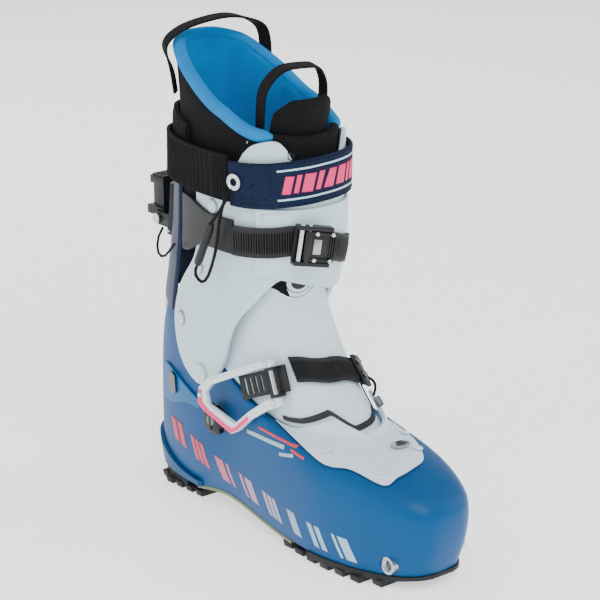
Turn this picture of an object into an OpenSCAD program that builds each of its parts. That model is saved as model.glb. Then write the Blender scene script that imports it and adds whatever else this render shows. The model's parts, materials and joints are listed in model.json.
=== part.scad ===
// Alpine touring boot, right foot. Millimetres.
// Toe towards -Y, wearer's outer side towards -X, up +Z, ground at z = 0, origin under mid-sole.

/* [Boot] */
// Overall length of the lower shell, heel to toe
boot_len = 306; // [256:1:368]
// Width of the lower shell across the ball of the foot
boot_w = 100; // [83:1:120]
// Height of the liner's upper rim above the ground
liner_top = 354; // [336:1:424]
// Wall of the moulded lower shell
shell_wall = 4; // [3:0.25:5]
// Wall of the cuff
cuff_wall = 3.2; // [2.4:0.2:4]

/* [Cuff pivot] */
// Diameter of the pivot pins
pivot_d = 8; // [6:0.5:10]
// Diameter of the pins' flat heads
pivot_head_d = 15; // [13:0.5:18]
// Radial play of each pin in the cuff
pivot_play = 0.15; // [0.1:0.05:0.3]

/* [Sole] */
// Depth of the tread between lugs
lug_h = 4.5; // [3:0.5:6]
// Diameter of the binding pin sockets in the toe
toe_socket_d = 6; // [5:0.5:7.5]
// Diameter of each steel toe insert
toe_insert_d = 13; // [11:0.5:15]
// Distance between the two heel slots
heel_slot_gap = 26; // [22:0.5:30]
// Width of each heel slot
heel_slot_w = 5; // [4:0.5:6]

/* [Straps] */
// Height of the power strap's webbing
power_strap_h = 33; // [27:1:38]
// Height of the toothed upper buckle strap
ladder_h = 22; // [18:1:26]
// Height of the toothed lower buckle strap
lower_ladder_h = 19; // [16:1:23]
// Thickness of the toothed straps
ladder_t = 2.6; // [2:0.2:3.2]
// Diameter of rivet heads on the cuff
rivet_d = 10; // [8:0.5:12]
// Diameter of rivet heads on the instep plate
plate_rivet_d = 8; // [6:0.5:10]
// Diameter of the steel hinge pins of the buckles
buckle_pin_d = 3.5; // [2.75:0.25:4.25]
// Diameter of the strap's pull cord
cord_d = 2.4; // [2:0.2:3]

/* [Walk lever] */
// Width of the walk lever
lever_w = 20; // [16:1:24]
// Diameter of the lever's hinge pin
lever_pin_d = 4; // [3:0.25:5]

/* [Hidden] */

// ---- general helpers ----
function mix(a, b, t) = a + (b - a) * t;
function clip(x, lo, hi) = max(lo, min(hi, x));
function smooth(x, a, b) = let (t = clip((x - a) / (b - a), 0, 1)) t * t * (3 - 2 * t);
function spow(x, e) = sign(x) * pow(abs(x), e);
function unit(v) = v / norm(v);
// Smooth curve through hand-set stations [position, value]
function station(x, p, i = 0) = i >= len(p) - 2 || x < p[i + 1][0] ? i : station(x, p, i + 1);
function slope(p, i) =
    i == 0 || i == len(p) - 1 ? 0
    : let (a = (p[i][1] - p[i - 1][1]) / (p[i][0] - p[i - 1][0]),
           b = (p[i + 1][1] - p[i][1]) / (p[i + 1][0] - p[i][0]))
      a * b <= 0 ? 0 : 2 * a * b / (a + b);
function curve(x, p) =
    let (i = station(x, p), w = p[i + 1][0] - p[i][0],
         t = clip((x - p[i][0]) / w, 0, 1),
         m0 = slope(p, i) * w, m1 = slope(p, i + 1) * w)
    (2 * t * t * t - 3 * t * t + 1) * p[i][1] + (t * t * t - 2 * t * t + t) * m0
    + (3 * t * t - 2 * t * t * t) * p[i + 1][1] + (t * t * t - t * t) * m1;

// Closed solid between an outer and an inner grid of points; wrap closes the rows into rings
module skin(outer, inner, wrap = false) {
    rows = len(outer);
    cols = len(outer[0]);
    last = wrap ? cols : cols - 1;
    n = rows * cols;
    points = concat([for (r = outer) for (p = r) p], [for (r = inner) for (p = r) p]);
    grid = [for (r = [0 : rows - 2]) for (c = [0 : last - 1])
        let (d = (c + 1) % cols, a = r * cols + c, b = r * cols + d, e = a + cols, f = b + cols)
        each [[a, f, b], [a, e, f], [n + a, n + b, n + f], [n + a, n + f, n + e]]];
    rims = [for (c = [0 : last - 1])
        let (d = (c + 1) % cols, top = (rows - 1) * cols)
        each [[c, n + d, n + c], [c, d, n + d],
              [top + c, n + top + c, n + top + d], [top + c, n + top + d, top + d]]];
    sides = wrap ? [] : [for (r = [0 : rows - 2])
        let (a = r * cols, b = a + cols, g = a + cols - 1, h = g + cols)
        each [[a, n + b, b], [a, n + a, n + b], [g, h, n + h], [g, n + h, n + g]]];
    polyhedron(points, concat(grid, rims, sides));
}

// Closed solid from rings; the first and last ring are closed by ribs from side to side
module rings_solid(rings) {
    rows = len(rings);
    cols = len(rings[0]);
    points = [for (r = rings) for (p = r) p];
    walls = [for (r = [0 : rows - 2]) for (c = [0 : cols - 1])
        let (d = (c + 1) % cols, a = r * cols + c, b = r * cols + d, e = a + cols, f = b + cols)
        each [[a, f, b], [a, e, f]]];
    top = (rows - 1) * cols;
    ribs = [for (c = [0 : cols / 2 - 1])
        let (l0 = c, l1 = c + 1, r0 = (cols - c) % cols, r1 = cols - c - 1)
        each concat(
            l0 == r0 ? [] : [[l1, r0, l0], [top + l0, top + r0, top + l1]],
            l1 == r1 ? [] : [[l1, r1, r0], [top + l1, top + r0, top + r1]])];
    polyhedron(points, concat(walls, ribs));
}

// A curved plate that lies on the surface f(a, b, offset), between two edges lo(a) and hi(a)
module patch(f, a0, a1, cols, lo, hi, rows, o0, o1) {
    grid = function (o) [for (j = [0 : rows]) [for (i = [0 : cols])
        let (a = mix(a0, a1, i / cols)) f(a, mix(lo(a), hi(a), j / rows), o)]];
    skin(grid(o1), grid(o0));
}

// Round tube along a list of points
module tube(path, d, sides = 8) {
    n = len(path);
    rings_solid([for (k = [0 : n - 1])
        let (t = unit(path[min(k + 1, n - 1)] - path[max(k - 1, 0)]),
             ref = abs(t[0]) < 0.8 ? [1, 0, 0] : [0, 0, 1],
             e = unit(cross(t, ref)), g = cross(t, e))
        [for (i = [0 : sides - 1]) let (q = i * 360 / sides) path[k] + d / 2 * (cos(q) * e + sin(q) * g)]]);
}

// Flat webbing along a list of points; side(k) gives the direction across the width
module ribbon(path, side, w, t) {
    n = len(path);
    row = function (s) [for (k = [0 : n - 1])
        let (along_k = unit(path[min(k + 1, n - 1)] - path[max(k - 1, 0)]),
             across = unit(side(k) - along_k * (side(k) * along_k)), out = cross(along_k, across))
        [path[k] - across * w / 2 + out * s * t / 2, path[k] + across * w / 2 + out * s * t / 2]];
    skin(row(-1), row(1));
}

// Places children at a point, their Y axis along one direction and their Z axis outwards
module at(p, y_axis, z_axis) {
    y = unit(y_axis);
    z = unit(z_axis - y * (z_axis * y));
    x = cross(y, z);
    multmatrix([[x[0], y[0], z[0], p[0]], [x[1], y[1], z[1], p[1]], [x[2], y[2], z[2], p[2]], [0, 0, 0, 1]])
        children();
}
// Outward normal of a surface f(a, b, offset)
function normal_of(f, a, b) =
    let (p = f(a, b, 0), u = f(a + 1, b, 0) - p, h = b > 10 ? 1 : 0.01, v = f(a, b + h, 0) - p)
    unit(cross(v, u)) * -1;
// A low domed rivet head standing on z = 0
module rivet(d, h) {
    cylinder(d = d, h = h * 0.6, $fn = 32);
    translate([0, 0, h * 0.6]) cylinder(d1 = d, d2 = d * 0.7, h = h * 0.4, $fn = 32);
}

// ---- layout shared by all pieces ----
kw = boot_w / 100;
forefoot = -20;
klen = (boot_len - 174) / (306 - 174);
// Stations ahead of the ankle stretch with the boot's length; ankle and heel stay
function along(y) = y < forefoot ? forefoot + (y - forefoot) * klen : y;
pivot_y = 66;
pivot_z = 110;
gap = 0.3;

// ---- lower shell ----
// Half-widths of the outline at sole, belly and rim heights, outer side and inner side
sole_out = [[-147, 38], [-100, 45], [-70, 47], [-16, 41], [40, 34], [80, 35], [147, 37]];
sole_in = [[-147, 41], [-110, 47], [-80, 47], [-30, 40], [20, 33], [80, 33], [147, 35]];
belly_out = [[-156, 43], [-100, 49], [-70, 51], [-16, 47], [40, 41], [80, 42.5], [150, 42]];
belly_in = [[-156, 48], [-110, 52], [-80, 51], [-30, 45], [20, 40], [80, 41], [150, 39]];
rim_w = [[-80, 30], [-40, 36], [0, 37], [60, 41], [100, 40.2], [134, 38]];
rim_z = [[-80, 90], [-30, 89], [0, 94], [38, 114], [66, 128], [100, 142], [134, 148]];
corner_z = [[-154, 72], [-110, 77], [-60, 86], [-30, 88], [0, 94], [38, 114], [66, 128],
            [100, 142], [150, 148]];
// Underside of the shell: level under heel and ball, raised at the arch, rockered at the toe
base_z = [[-156, 12], [-130, 9.5], [-95, 9], [-20, 9], [25, 14], [50, 17], [72, 13], [90, 10], [152, 10]];
belly_z = 48;
rim_mid = 29;
rim_half = 109;
rim_e = 0.8;
toe_y = -129;
toe_z = 18;

// One outline: centre, half-length, outer and inner half-widths, corner sharpness, outward offset
function outline(u, mid_y, half, out_w, in_w, e, o) =
    let (c = cos(u), s = sin(u), y = mid_y + half * spow(c, e),
         w = kw * (s >= 0 ? curve(y, out_w) : curve(y, in_w)) + o)
    [-w * spow(s, e), along(mid_y + (half + o) * spow(c, e))];
function sole_line(u, o) = outline(u, 0, 150, sole_out, sole_in, 0.64, o);
function rim_line(u, o) = outline(u, rim_mid, rim_half, rim_w, rim_w, rim_e, o);
function base_at(u) = curve(150 * spow(cos(u), 0.64), base_z);

function low(u, v, o = 0) =
    let (b = sole_line(u, o),
         m = outline(u, -2, 155, belly_out, belly_in, 0.64, o),
         t = rim_line(u, o),
         y = -2 + 155 * spow(cos(u), 0.64),
         roof = smooth(-y, 20, 60),
         zc = curve(y, corner_z) + o * roof,
         zt = curve(rim_mid + rim_half * spow(cos(u), rim_e), rim_z) + max(o, 0) * roof,
         f = sin(v / 0.3 * 90),
         q = max(v - 0.3, 0) / 0.7 * 90,
         g = 1 - pow(cos(q), 0.62),
         k = pow(sin(q), 0.62))
    v < 0.3
    ? [mix(b[0], m[0], f), mix(b[1], m[1], f), mix(base_at(u), belly_z, v / 0.3)]
    : [mix(m[0], t[0], g), mix(m[1], t[1], g), belly_z + (zc - belly_z) * k + (zt - zc) * g];
// Half-width of the shell's side near the cuff pivot
pivot_face = kw * 41.5;

module lower_shell() {
    color("steelblue") difference() {
        up = [0, 0.06, 0.14, 0.22, 0.3, 0.37, 0.44, 0.52, 0.6, 0.68, 0.76, 0.84, 0.91, 0.96, 1];
        outer = [for (v = up) [for (i = [0 : shell_cols - 1]) low(i * shell_col, v)]];
        inner = [for (j = [len(up) - 1 : -1 : 0]) [for (i = [0 : shell_cols - 1])
            let (p = low(i * shell_col, up[j], -shell_wall))
            [p[0], p[1], p[2] + (j < 4 ? shell_wall * (1 - j / 4) : 0)]]];
        rings_solid(concat(outer, inner));
        across(pivot_y, pivot_z) cylinder(d = pivot_d, h = 160, center = true, $fn = 48);
        across(along(toe_y), toe_z) cylinder(d = toe_insert_d, h = 160, center = true, $fn = 48);
    }
}
// Turns a cylinder to lie across the boot at y, z
module across(y, z) {
    translate([0, y, z]) rotate([0, 90, 0]) children();
}

// Moulded ledge that wraps the heel
module heel_cap() {
    color("steelblue") difference() {
        patch(on_heel, -68, 68, 28, function (u) 11, function (u) 40 - 24 * smooth(abs(u), 8, 68), 4, gap, 3.2);
        patch(on_heel, -heel_plate_half - 1, heel_plate_half + 1, 10, function (u) 5, function (u) 37, 2, -2, 8);
    }
}

// ---- sole ----
sole_gap = 0.15;
shell_cols = 56;
shell_col = 360 / shell_cols;
// Slab under the shell between two angles of the sole line
module slab(c0, c1, grow, drop) {
    line = function (u, z) let (l = sole_line(u, grow), r = sole_line(360 - u, grow))
        [for (i = [0 : 6]) [mix(l[0], r[0], i / 6), l[1], z]];
    us = [for (c = [c0 : c1]) c * shell_col];
    skin([for (u = us) line(u, drop(u))], [for (u = us) line(u, base_at(u) - sole_gap)]);
}
// Tread block, a tapered bar across half the sole
module lug(y, side, x0, x1, depth, top) {
    translate([0, y, 0]) rotate([90, 0, 0]) translate([0, 0, -depth / 2])
        linear_extrude(height = depth)
            polygon([[side * x0, 0.0], [side * (x1 - 1.5), 0.0], [side * x1, top], [side * (x0 - 1), top]]);
}
module outsole_front() {
    color("black") {
        slab(16, 27, 1.2, function (u) let (y = 150 * spow(cos(u), 0.64)) lug_h + 4 * smooth(-y, 118, 152));
        for (k = [0 : 6]) for (side = [-1, 1])
            let (y = -30 - k * 15, w = kw * (side < 0 ? curve(y, sole_out) : curve(y, sole_in)))
            lug(along(y), side, 9, w - (k > 5 ? 6 : 1), 9, lug_h + 0.6);
    }
}
module outsole_heel() {
    color("black") {
        slab(2, 9, 1.2, function (u) lug_h);
        for (k = [0 : 4]) for (side = [-1, 1])
            let (y = 88 + k * 12, w = kw * (side < 0 ? curve(y, sole_out) : curve(y, sole_in)))
            lug(y, side, 12, w - (k > 3 ? 8 : 2), 7, lug_h + 0.6);
    }
}
module arch_insert() {
    color("khaki") slab(10, 15, 0.4, function (u) base_at(u) - 3);
}
toe_face = kw * 34.8;
module toe_inserts() {
    face = toe_face;
    depth = 9;
    color("silver") for (side = [-1, 1])
        translate([kw * 1.8, along(toe_y), toe_z]) rotate([0, 90 * side, 0]) difference() {
        translate([0, 0, face - depth]) cylinder(d = toe_insert_d, h = depth, $fn = 48);
        translate([0, 0, face - 5]) cylinder(d = toe_socket_d, h = 6, $fn = 48);
        translate([0, 0, face - 1.5]) cylinder(d1 = toe_socket_d, d2 = toe_socket_d + 3, h = 1.6, $fn = 48);
    }
}
on_heel = function (u, z, o) let (p = low(u, clip((z - 10) / 38 * 0.3, 0, 0.3), o)) [p[0], p[1], z];
heel_plate_half = 20;
heel_screw_z = 29;
module heel_insert() {
    color("silver") difference() {
        patch(on_heel, -heel_plate_half, heel_plate_half, 10, function (u) 14, function (u) 36, 2, gap, 4.4);
        for (side = [-1, 1])
            translate([side * heel_slot_gap / 2 - heel_slot_w / 2, 130, 10]) cube([heel_slot_w, 40, 13]);
        translate([0, 170, heel_screw_z]) rotate([90, 0, 0]) cylinder(d = 5.2, h = 40, $fn = 32);
    }
}
module heel_screw() {
    color("gray") translate([0, low(0, 0.15, 4.4)[1] + 0.4, heel_screw_z]) rotate([-90, 0, 0]) difference() {
        union() {
            cylinder(d = 9, h = 2, $fn = 32);
            translate([0, 0, -3.6]) cylinder(d = 5, h = 4, $fn = 32);
        }
        translate([0, 0, 0.8]) cylinder(d = 4, h = 2, $fn = 16);
    }
}

// ---- gaiter over the instep, from the shell's rim up to the neck under the cuff ----
neck_r = 95;
neck_mid = 40;
neck_half = 44;
function neck(u, o) =
    let (c = cos(u), s = sin(u), y = neck_mid + neck_half * spow(c, 0.9))
    [-(kw * 34 + o) * spow(s, 0.9), neck_mid + (neck_half + o) * spow(c, 0.9),
     pivot_z + sqrt(neck_r * neck_r - pow(y - pivot_y, 2)) - 18 * smooth(y, 0, 45)];
function instep(u, w, o) =
    let (t = rim_line(u, o - gap),
         zt = curve(rim_mid + rim_half * spow(cos(u), rim_e), rim_z) + 1.6 + gap,
         n = neck(u, o),
         g = 1 - pow(1 - w, 1.25), k = pow(w, 1.2))
    [mix(t[0], n[0], g), mix(t[1], n[1], g), mix(zt, n[2], k) + o * 0.8 * (1 - w)];
module gaiter() {
    color("whitesmoke")
        patch(function (u, w, o) instep(u, w, o), 10 * shell_col, 46 * shell_col, 36, function (u) 0,
              function (u) 1, 12, -2, 0);
}
// Zigzag line of the seam between plate and gaiter, as a share of the gaiter's height
seam = [[104, 0.01], [124, 0.05], [150, 0.17], [166, 0.045], [200, 0.10], [213, 0.11], [222, 0.24]];
function seam_at(u) = lookup(u, seam);
module gaiter_welt() {
    color("darkslategray")
        patch(function (u, w, o) instep(u, w, o), 112, 222, 36, function (u) seam_at(u) + 0.025,
              function (u) seam_at(u) + 0.07, 2, gap, 1.3);
}

// Plate riveted over the toe box; its rear edge runs along the seam
plate_edge = [[106, 0.99], [109, 0.84], [114, 0.72], [130, 0.79], [144, 0.70], [160, 0.79], [186, 0.86],
              [198, 0.90], [212, 0.93], [226, 0.98]];
function over(u, t, o) =
    t <= 1 ? low(u, t, o)
    : let (p = instep(u, t - 1, o + 2.2), q = low(u, 1, o), b = smooth(t - 1, 0, 0.05))
      mix(q, p, b);
module instep_plate() {
    color("white") {
        cols = 36;
        rows = 9;
        at_row = function (u, j) j <= 6 ? mix(curve(u, plate_edge), 1, j / 6) : 1 + max(seam_at(u) - 0.02, 0.012) * (j - 6) / 3;
        grid = function (o) [for (j = [0 : rows]) [for (i = [0 : cols])
            let (u = mix(107, 225, i / cols)) over(u, at_row(u, j), o)]];
        skin(grid(3), grid(0.8));
    }
}
plate_rivet_at = [[126, 0.92], [152, 0.83], [196, 0.92], [212, 0.97]];
module plate_rivets() {
    color("lightgray") for (r = plate_rivet_at)
        at(low(r[0], r[1], 3.3), [0, 1, 0], normal_of(function (a, b, o) low(a, b, o), r[0], r[1]))
            rivet(plate_rivet_d, 1.6);
}
module plate_badge() {
    color("silver")
        at(low(184, 0.965, 3.9), [0, 1, 0.08], [0.05, -0.1, 1]) linear_extrude(height = 1.2)
            polygon([for (q = [0 : 60 : 300]) 9 * [cos(q), 0.62 * sin(q)]]);
}

// ---- cuff ----
cuff_mid = 40;
cuff_front = [[95, 46], [150, 46], [187, 51], [222, 61], [300, 60]];
cuff_back = [[95, 112], [130, 111], [150, 108], [190, 99], [222, 94], [250, 91], [300, 88]];
cuff_half = [[95, 46], [150, 46], [200, 45], [250, 46], [300, 48]];
function cuff(a, z, o = 0) =
    let (c = cos(a), s = sin(a),
         w = kw * curve(z, cuff_half) * (1 - 0.10 * smooth(c, 0.2, 1)) + o,
         h = (c >= 0 ? curve(z, cuff_back) : curve(z, cuff_front)) + o)
    [-w * spow(s, c >= 0 ? 0.7 : 0.84), cuff_mid + h * spow(c, c >= 0 ? 0.8 : 0.92), z];
on_cuff = function (a, z, o) cuff(a, z, o);
function fold(a) = let (b = (a + 360) % 360) b > 180 ? 360 - b : b;
// Lower edge of the white cuff, from its rear edge over the pivot lobe to the front
leg_edge = [[57, 142], [60, 127], [66, 113], [73, 104], [80, 100], [86, 106], [91, 122],
            [102, 152], [112, 165], [123, 175], [135, 187], [148, 196], [180, 197]];
cuff_top = [[57, 270], [95, 272], [108, 287], [118, 295], [140, 299], [150, 293], [158, 280], [180, 272]];
// Rear edge of the white cuff, as an angle at each height
rear_edge = [[142, 57], [168, 60], [192, 71], [205, 76], [300, 76]];
module cuff_shell() {
    color("white") difference() {
        cols = 60;
        rows = 11;
        grid = function (o) [for (j = [0 : rows]) [for (i = [0 : cols])
            let (s = i / cols, side = s <= 0.5 ? 1 : -1, q = s <= 0.5 ? s * 2 : 2 - s * 2,
                 a0 = 57 + 123 * q,
                 z = mix(curve(a0, leg_edge), curve(a0, cuff_top), j / rows),
                 lead = curve(z, rear_edge) - 57,
                 a = a0 + lead * pow(1 - q, 3))
            cuff(side > 0 ? a : 360 - a, z, o)]];
        skin(grid(0), grid(-cuff_wall));
        across(pivot_y, pivot_z) cylinder(d = pivot_d + 2 * pivot_play, h = 160, center = true, $fn = 48);
    }
}
flap_edge = [[122, 199], [150, 196], [174, 190], [198, 183], [236, 184]];
flap_t = 2.6;
module cuff_flap() {
    color("white") patch(on_cuff, 122, 234, 26, function (a) curve(a, flap_edge), function (a) 250, 6, gap, flap_t);
}
spine_reach = 54;
module rear_spine() {
    color("midnightblue")
        patch(on_cuff, -spine_reach, spine_reach, 24,
              function (a) 153 - 6 * smooth(abs(a), 30, 54), function (a) 262, 9, -cuff_wall, 0);
}
module rear_pad() {
    color("black")
        patch(on_cuff, -68, 68, 24, function (a) 263, function (a) 304 - 6 * smooth(abs(a), 30, 68), 3, -cuff_wall, 0.5);
}
pin_reach = kw * 46 + gap;
module pivot_pins() {
    color("silver") for (side = [-1, 1]) across(pivot_y, pivot_z) scale([1, 1, side]) {
        translate([0, 0, pivot_face - shell_wall - 0.8]) cylinder(d = pivot_d, h = 0.8 + shell_wall + pin_reach - pivot_face, $fn = 48);
        translate([0, 0, pin_reach]) cylinder(d = pivot_head_d, h = 1.8, $fn = 48);
    }
}
cuff_rivet_at = [[66, 146], [78, 192], [87, 243], [294, 146], [282, 192], [273, 243]];
module cuff_rivets() {
    color("white") for (r = cuff_rivet_at)
        at(cuff(r[0], r[1], gap), [0, 0, 1], normal_of(on_cuff, r[0], r[1])) rivet(rivet_d, 1.4);
}

// ---- shields and lenses behind the pivots ----
module ankle_shields() {
    color("cornflowerblue") for (side = [-1, 1])
        patch(function (u, v, o) low(u, v, o), side < 0 ? 42 : 288, side < 0 ? 72 : 318, 10,
              function (u) 0.345 + 0.045 * smooth(fold(u), 50, 72), function (u) 0.47 - 0.04 * smooth(fold(u), 46, 72),
              4, gap, 2);
}
module ankle_lenses() {
    color("darkslategray") for (side = [-1, 1])
        at(low(side < 0 ? 54 : 306, 0.415, 2.4), [0, 0.1, 1],
           normal_of(function (a, b, o) low(a, b, o), side < 0 ? 54 : 306, 0.415))
            intersection() {
                cylinder(d = 17, h = 1.4, $fn = 48);
                translate([0, 0, 0.7]) cube([12, 17, 3], center = true);
            }
}

// ---- inside ----
board_top = 24.4;
liner_t = 5;
bed_z = board_top + gap + liner_t + gap;
module boot_board() {
    color("dimgray") {
        us = [for (j = [0 : 16]) mix(14, 166, j / 16)];
        row = function (u, z) let (l = sole_line(u, -9), r = sole_line(360 - u, -9))
            [for (i = [0 : 4]) [mix(l[0], r[0], i / 4), l[1], z]];
        skin([for (u = us) row(u, board_top - 3)], [for (u = us) row(u, board_top)]);
    }
}
module footbed() {
    color("orange") {
        us = [for (j = [0 : 16]) mix(16, 164, j / 16)];
        row = function (u, z) let (l = sole_line(u, -13), r = sole_line(360 - u, -13))
            [for (i = [0 : 4]) [mix(l[0], r[0], i / 4), l[1], z]];
        skin([for (u = us) row(u, bed_z)], [for (u = us) row(u, bed_z + 3)]);
    }
}
module liner_foot() {
    color("dimgray") {
        cols = 40;
        up = [0.085, 0.3, 0.44, 0.6, 0.72, 0.81, 0.88];
        ring = function (j, o, floor_z) [for (i = [0 : cols - 1])
            let (p = low(i * 360 / cols, up[j], o)) [p[0], p[1], j == 0 ? floor_z : p[2] - 1]];
        rings_solid(concat([for (j = [0 : len(up) - 1]) ring(j, -shell_wall - 1.2, board_top + gap)],
                           [for (j = [len(up) - 1 : -1 : 0])
                               ring(j, -shell_wall - 1.2 - liner_t, board_top + gap + liner_t)]));
    }
}
liner_play = 1.2;
rim_top = [[0, 0], [35, -4], [65, -20], [95, -42], [125, -51], [180, -54]];
function liner(a, v, o) =
    let (z1 = liner_top + curve(fold(a), rim_top),
         q = cuff(a, 210, o - cuff_wall - liner_play),
         z0 = pivot_z + sqrt(103 * 103 - pow(min(q[1], 150) - pivot_y, 2)),
         z = mix(z0, z1, v),
         flare = 3 * smooth(z, 304, liner_top) * smooth(cos(a), -0.3, 1),
         p = cuff(a, min(z, 300), o - cuff_wall - liner_play + flare))
    [p[0], p[1], z];
liner_cuff_t = 8;
module liner_cuff() {
    color("deepskyblue") {
        cols = 40;
        rows = 10;
        grid = function (o) [for (j = [0 : rows]) [for (i = [0 : cols - 1]) liner(i * 360 / cols, j / rows, o)]];
        skin(grid(0), grid(-liner_cuff_t), wrap = true);
    }
}
module liner_tongue() {
    color("black") {
        grid = function (o) [for (j = [0 : 8]) [for (i = [0 : 16])
            let (a = 132 + i * 6, z = mix(214, 322 - 10 * smooth(abs(a - 180), 20, 48), j / 8),
                 p = cuff(a, min(z, 300), o - cuff_wall - liner_play - liner_cuff_t - gap)) [p[0], p[1], z]]];
        skin(grid(0), grid(-6));
    }
}
loop_w = 10;
loop_t = 1.8;
rear_x = [[0, -31.5], [0.14, -33], [0.3, -36], [0.55, -8], [0.72, 18], [0.84, 39], [0.9, 41], [1, 40]];
rear_y = [[0, 109.7], [0.14, 111.6], [0.3, 117], [0.55, 107], [0.75, 99], [0.9, 94], [1, 93]];
rear_z = [[0, 314], [0.14, 330], [0.3, 348], [0.5, 364], [0.68, 368], [0.86, 355], [1, 322]];
module rear_loop() {
    color("black") {
        path = [for (k = [0 : 20]) let (t = k / 20) [curve(t, rear_x), curve(t, rear_y), curve(t, rear_z)]];
        lie = function (k) mix(mix([0.75, 0.66, 0], [0.25, 1, 0.15], smooth(k, 2, 7)), [-0.45, 0.89, 0],
                               smooth(k, 12, 18));
        ribbon(path, lie, loop_w, loop_t);
    }
}
front_x = [[0, -27.2], [0.15, -27.5], [0.3, -26.5], [0.5, -5], [0.72, 24], [0.86, 32], [1, 27.2]];
front_y = [[0, 16.5], [0.5, 15], [1, 17]];
front_z = [[0, 288], [0.15, 309], [0.3, 328], [0.5, 345], [0.7, 343], [0.86, 325], [1, 290]];
module front_loop() {
    color("black") {
        path = [for (k = [0 : 20]) let (t = k / 20) [curve(t, front_x), curve(t, front_y), curve(t, front_z)]];
        ribbon(path, function (k) [0.1, 1, 0.2], loop_w, loop_t);
    }
}

// ---- power strap ----
strap_mid = [[0, 270], [60, 268], [110, 266], [160, 270], [200, 272], [300, 270]];
strap_o = flap_t + gap;
strap_t = 2;
module power_strap() {
    color("navy") patch(on_cuff, 103, 300, 48, function (a) curve(a, strap_mid) - power_strap_h / 2,
                        function (a) curve(a, strap_mid) + power_strap_h / 2, 2, strap_o, strap_o + strap_t);
}
module strap_elastic() {
    color("black") patch(on_cuff, -59, 102, 40, function (a) 252, function (a) 286, 2, strap_o, strap_o + strap_t + 0.4);
}
eyelet_at = [108, 268];
module strap_eyelet() {
    color("silver") at(cuff(eyelet_at[0], eyelet_at[1], strap_o + strap_t + gap), [0, 0, 1], normal_of(on_cuff, eyelet_at[0], eyelet_at[1]))
        difference() {
            cylinder(d = 12, h = 1.4, $fn = 40);
            translate([0, 0, -1]) cylinder(d = 6, h = 4, $fn = 40);
        }
}
// Pull cord: out of the eyelet, through the toggle, round its loop and back behind the strap
cord_points = [[-53, 20, 262], [-55, 22, 254], [-57, 26, 246], [-58, 31, 240], [-58, 34, 236]];
cord_return = [[-58, 54, 196], [-58, 54, 192], [-57, 52, 189], [-57, 48, 188], [-57, 44, 190], [-57, 40, 195],
               [-57, 36, 203], [-57, 32, 213], [-57, 29, 224], [-57, 27, 236], [-56, 25, 246], [-54, 24, 255], [-53, 24, 262]];
toggle_ends = [[-58, 34.4, 235.4], [-58, 53.6, 196.8]];
toggle_d = 6.5;
module strap_cord() {
    color("black") {
        tube(cord_points, cord_d);
        tube(cord_return, cord_d);
    }
}
module cord_toggle() {
    run = toggle_ends[1] - toggle_ends[0];
    color("black") at(toggle_ends[0], [1, 0, 0], run) cylinder(d = toggle_d, h = norm(run), $fn = 32);
}

// ---- upper buckle ----
module strap_bracket() {
    color("black") patch(on_cuff, 66, 103, 12, function (a) 212 - 10 * smooth(a, 82, 70),
                         function (a) 238 + 8 * smooth(a, 88, 70), 3, gap, 3);
}
ladder_mid = [[104, 224], [135, 226], [153, 228], [180, 221], [205, 214]];
module ladder_strap() {
    color("black") patch(on_cuff, 104, 206, 26, function (a) curve(a, ladder_mid) - ladder_h / 2,
                         function (a) curve(a, ladder_mid) + ladder_h / 2, 2, strap_o, strap_o + ladder_t);
}
buckle_a = 167;
buckle_z = 225;
buckle_out = strap_o + ladder_t + gap;
buckle_h = 29;
module on_buckle() {
    at(cuff(buckle_a, buckle_z, buckle_out), [0.94, -0.34, -0.16], normal_of(on_cuff, buckle_a, buckle_z)) children();
}
roller_y = -10.6;
latch_y = -5;
latch_z = 5.2;
// Local axes: x up, y along the strap towards the tip, z outwards
module upper_buckle() {
    color("black") on_buckle() difference() {
        union() {
            translate([-buckle_h / 2, -14.5, 0]) cube([buckle_h, 27, 1.6]);
            for (side = [-1, 1]) translate([side * (buckle_h / 2 - 1.5) - 1.5, -14.5, 0]) cube([3, 27, 8]);
        }
        for (y = [roller_y, latch_y])
            translate([0, y, latch_z]) rotate([0, 90, 0]) cylinder(d = buckle_pin_d, h = 60, center = true, $fn = 32);
    }
}
module roller_pin() {
    color("silver") on_buckle() translate([0, roller_y, latch_z]) rotate([0, 90, 0]) cylinder(d = buckle_pin_d, h = buckle_h + 2, center = true, $fn = 32);
}
module latch_pin() {
    color("silver") on_buckle() translate([0, latch_y, latch_z]) rotate([0, 90, 0]) cylinder(d = buckle_pin_d, h = buckle_h + 2, center = true, $fn = 32);
}
module upper_latch() {
    w = buckle_h - 6 - 2 * gap;
    color("dimgray") on_buckle() difference() {
        union() {
            translate([-w / 2, latch_y, 2.1]) cube([w, 21, 6.6]);
            translate([0, latch_y, latch_z]) rotate([0, 90, 0]) cylinder(d = 6.2, h = w, center = true, $fn = 32);
        }
        translate([0, latch_y, latch_z]) rotate([0, 90, 0]) cylinder(d = buckle_pin_d + 0.2, h = 60, center = true, $fn = 32);
    }
}

// ---- lower buckle ----
lever_at = [-kw * 39, -11.5, 124];
lever_along = [-19.5, 62, -26];
lever_out = [-0.96, -0.21, 0.13];
module on_lever() {
    at(lever_at, lever_along, lever_out) children();
}
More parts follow.
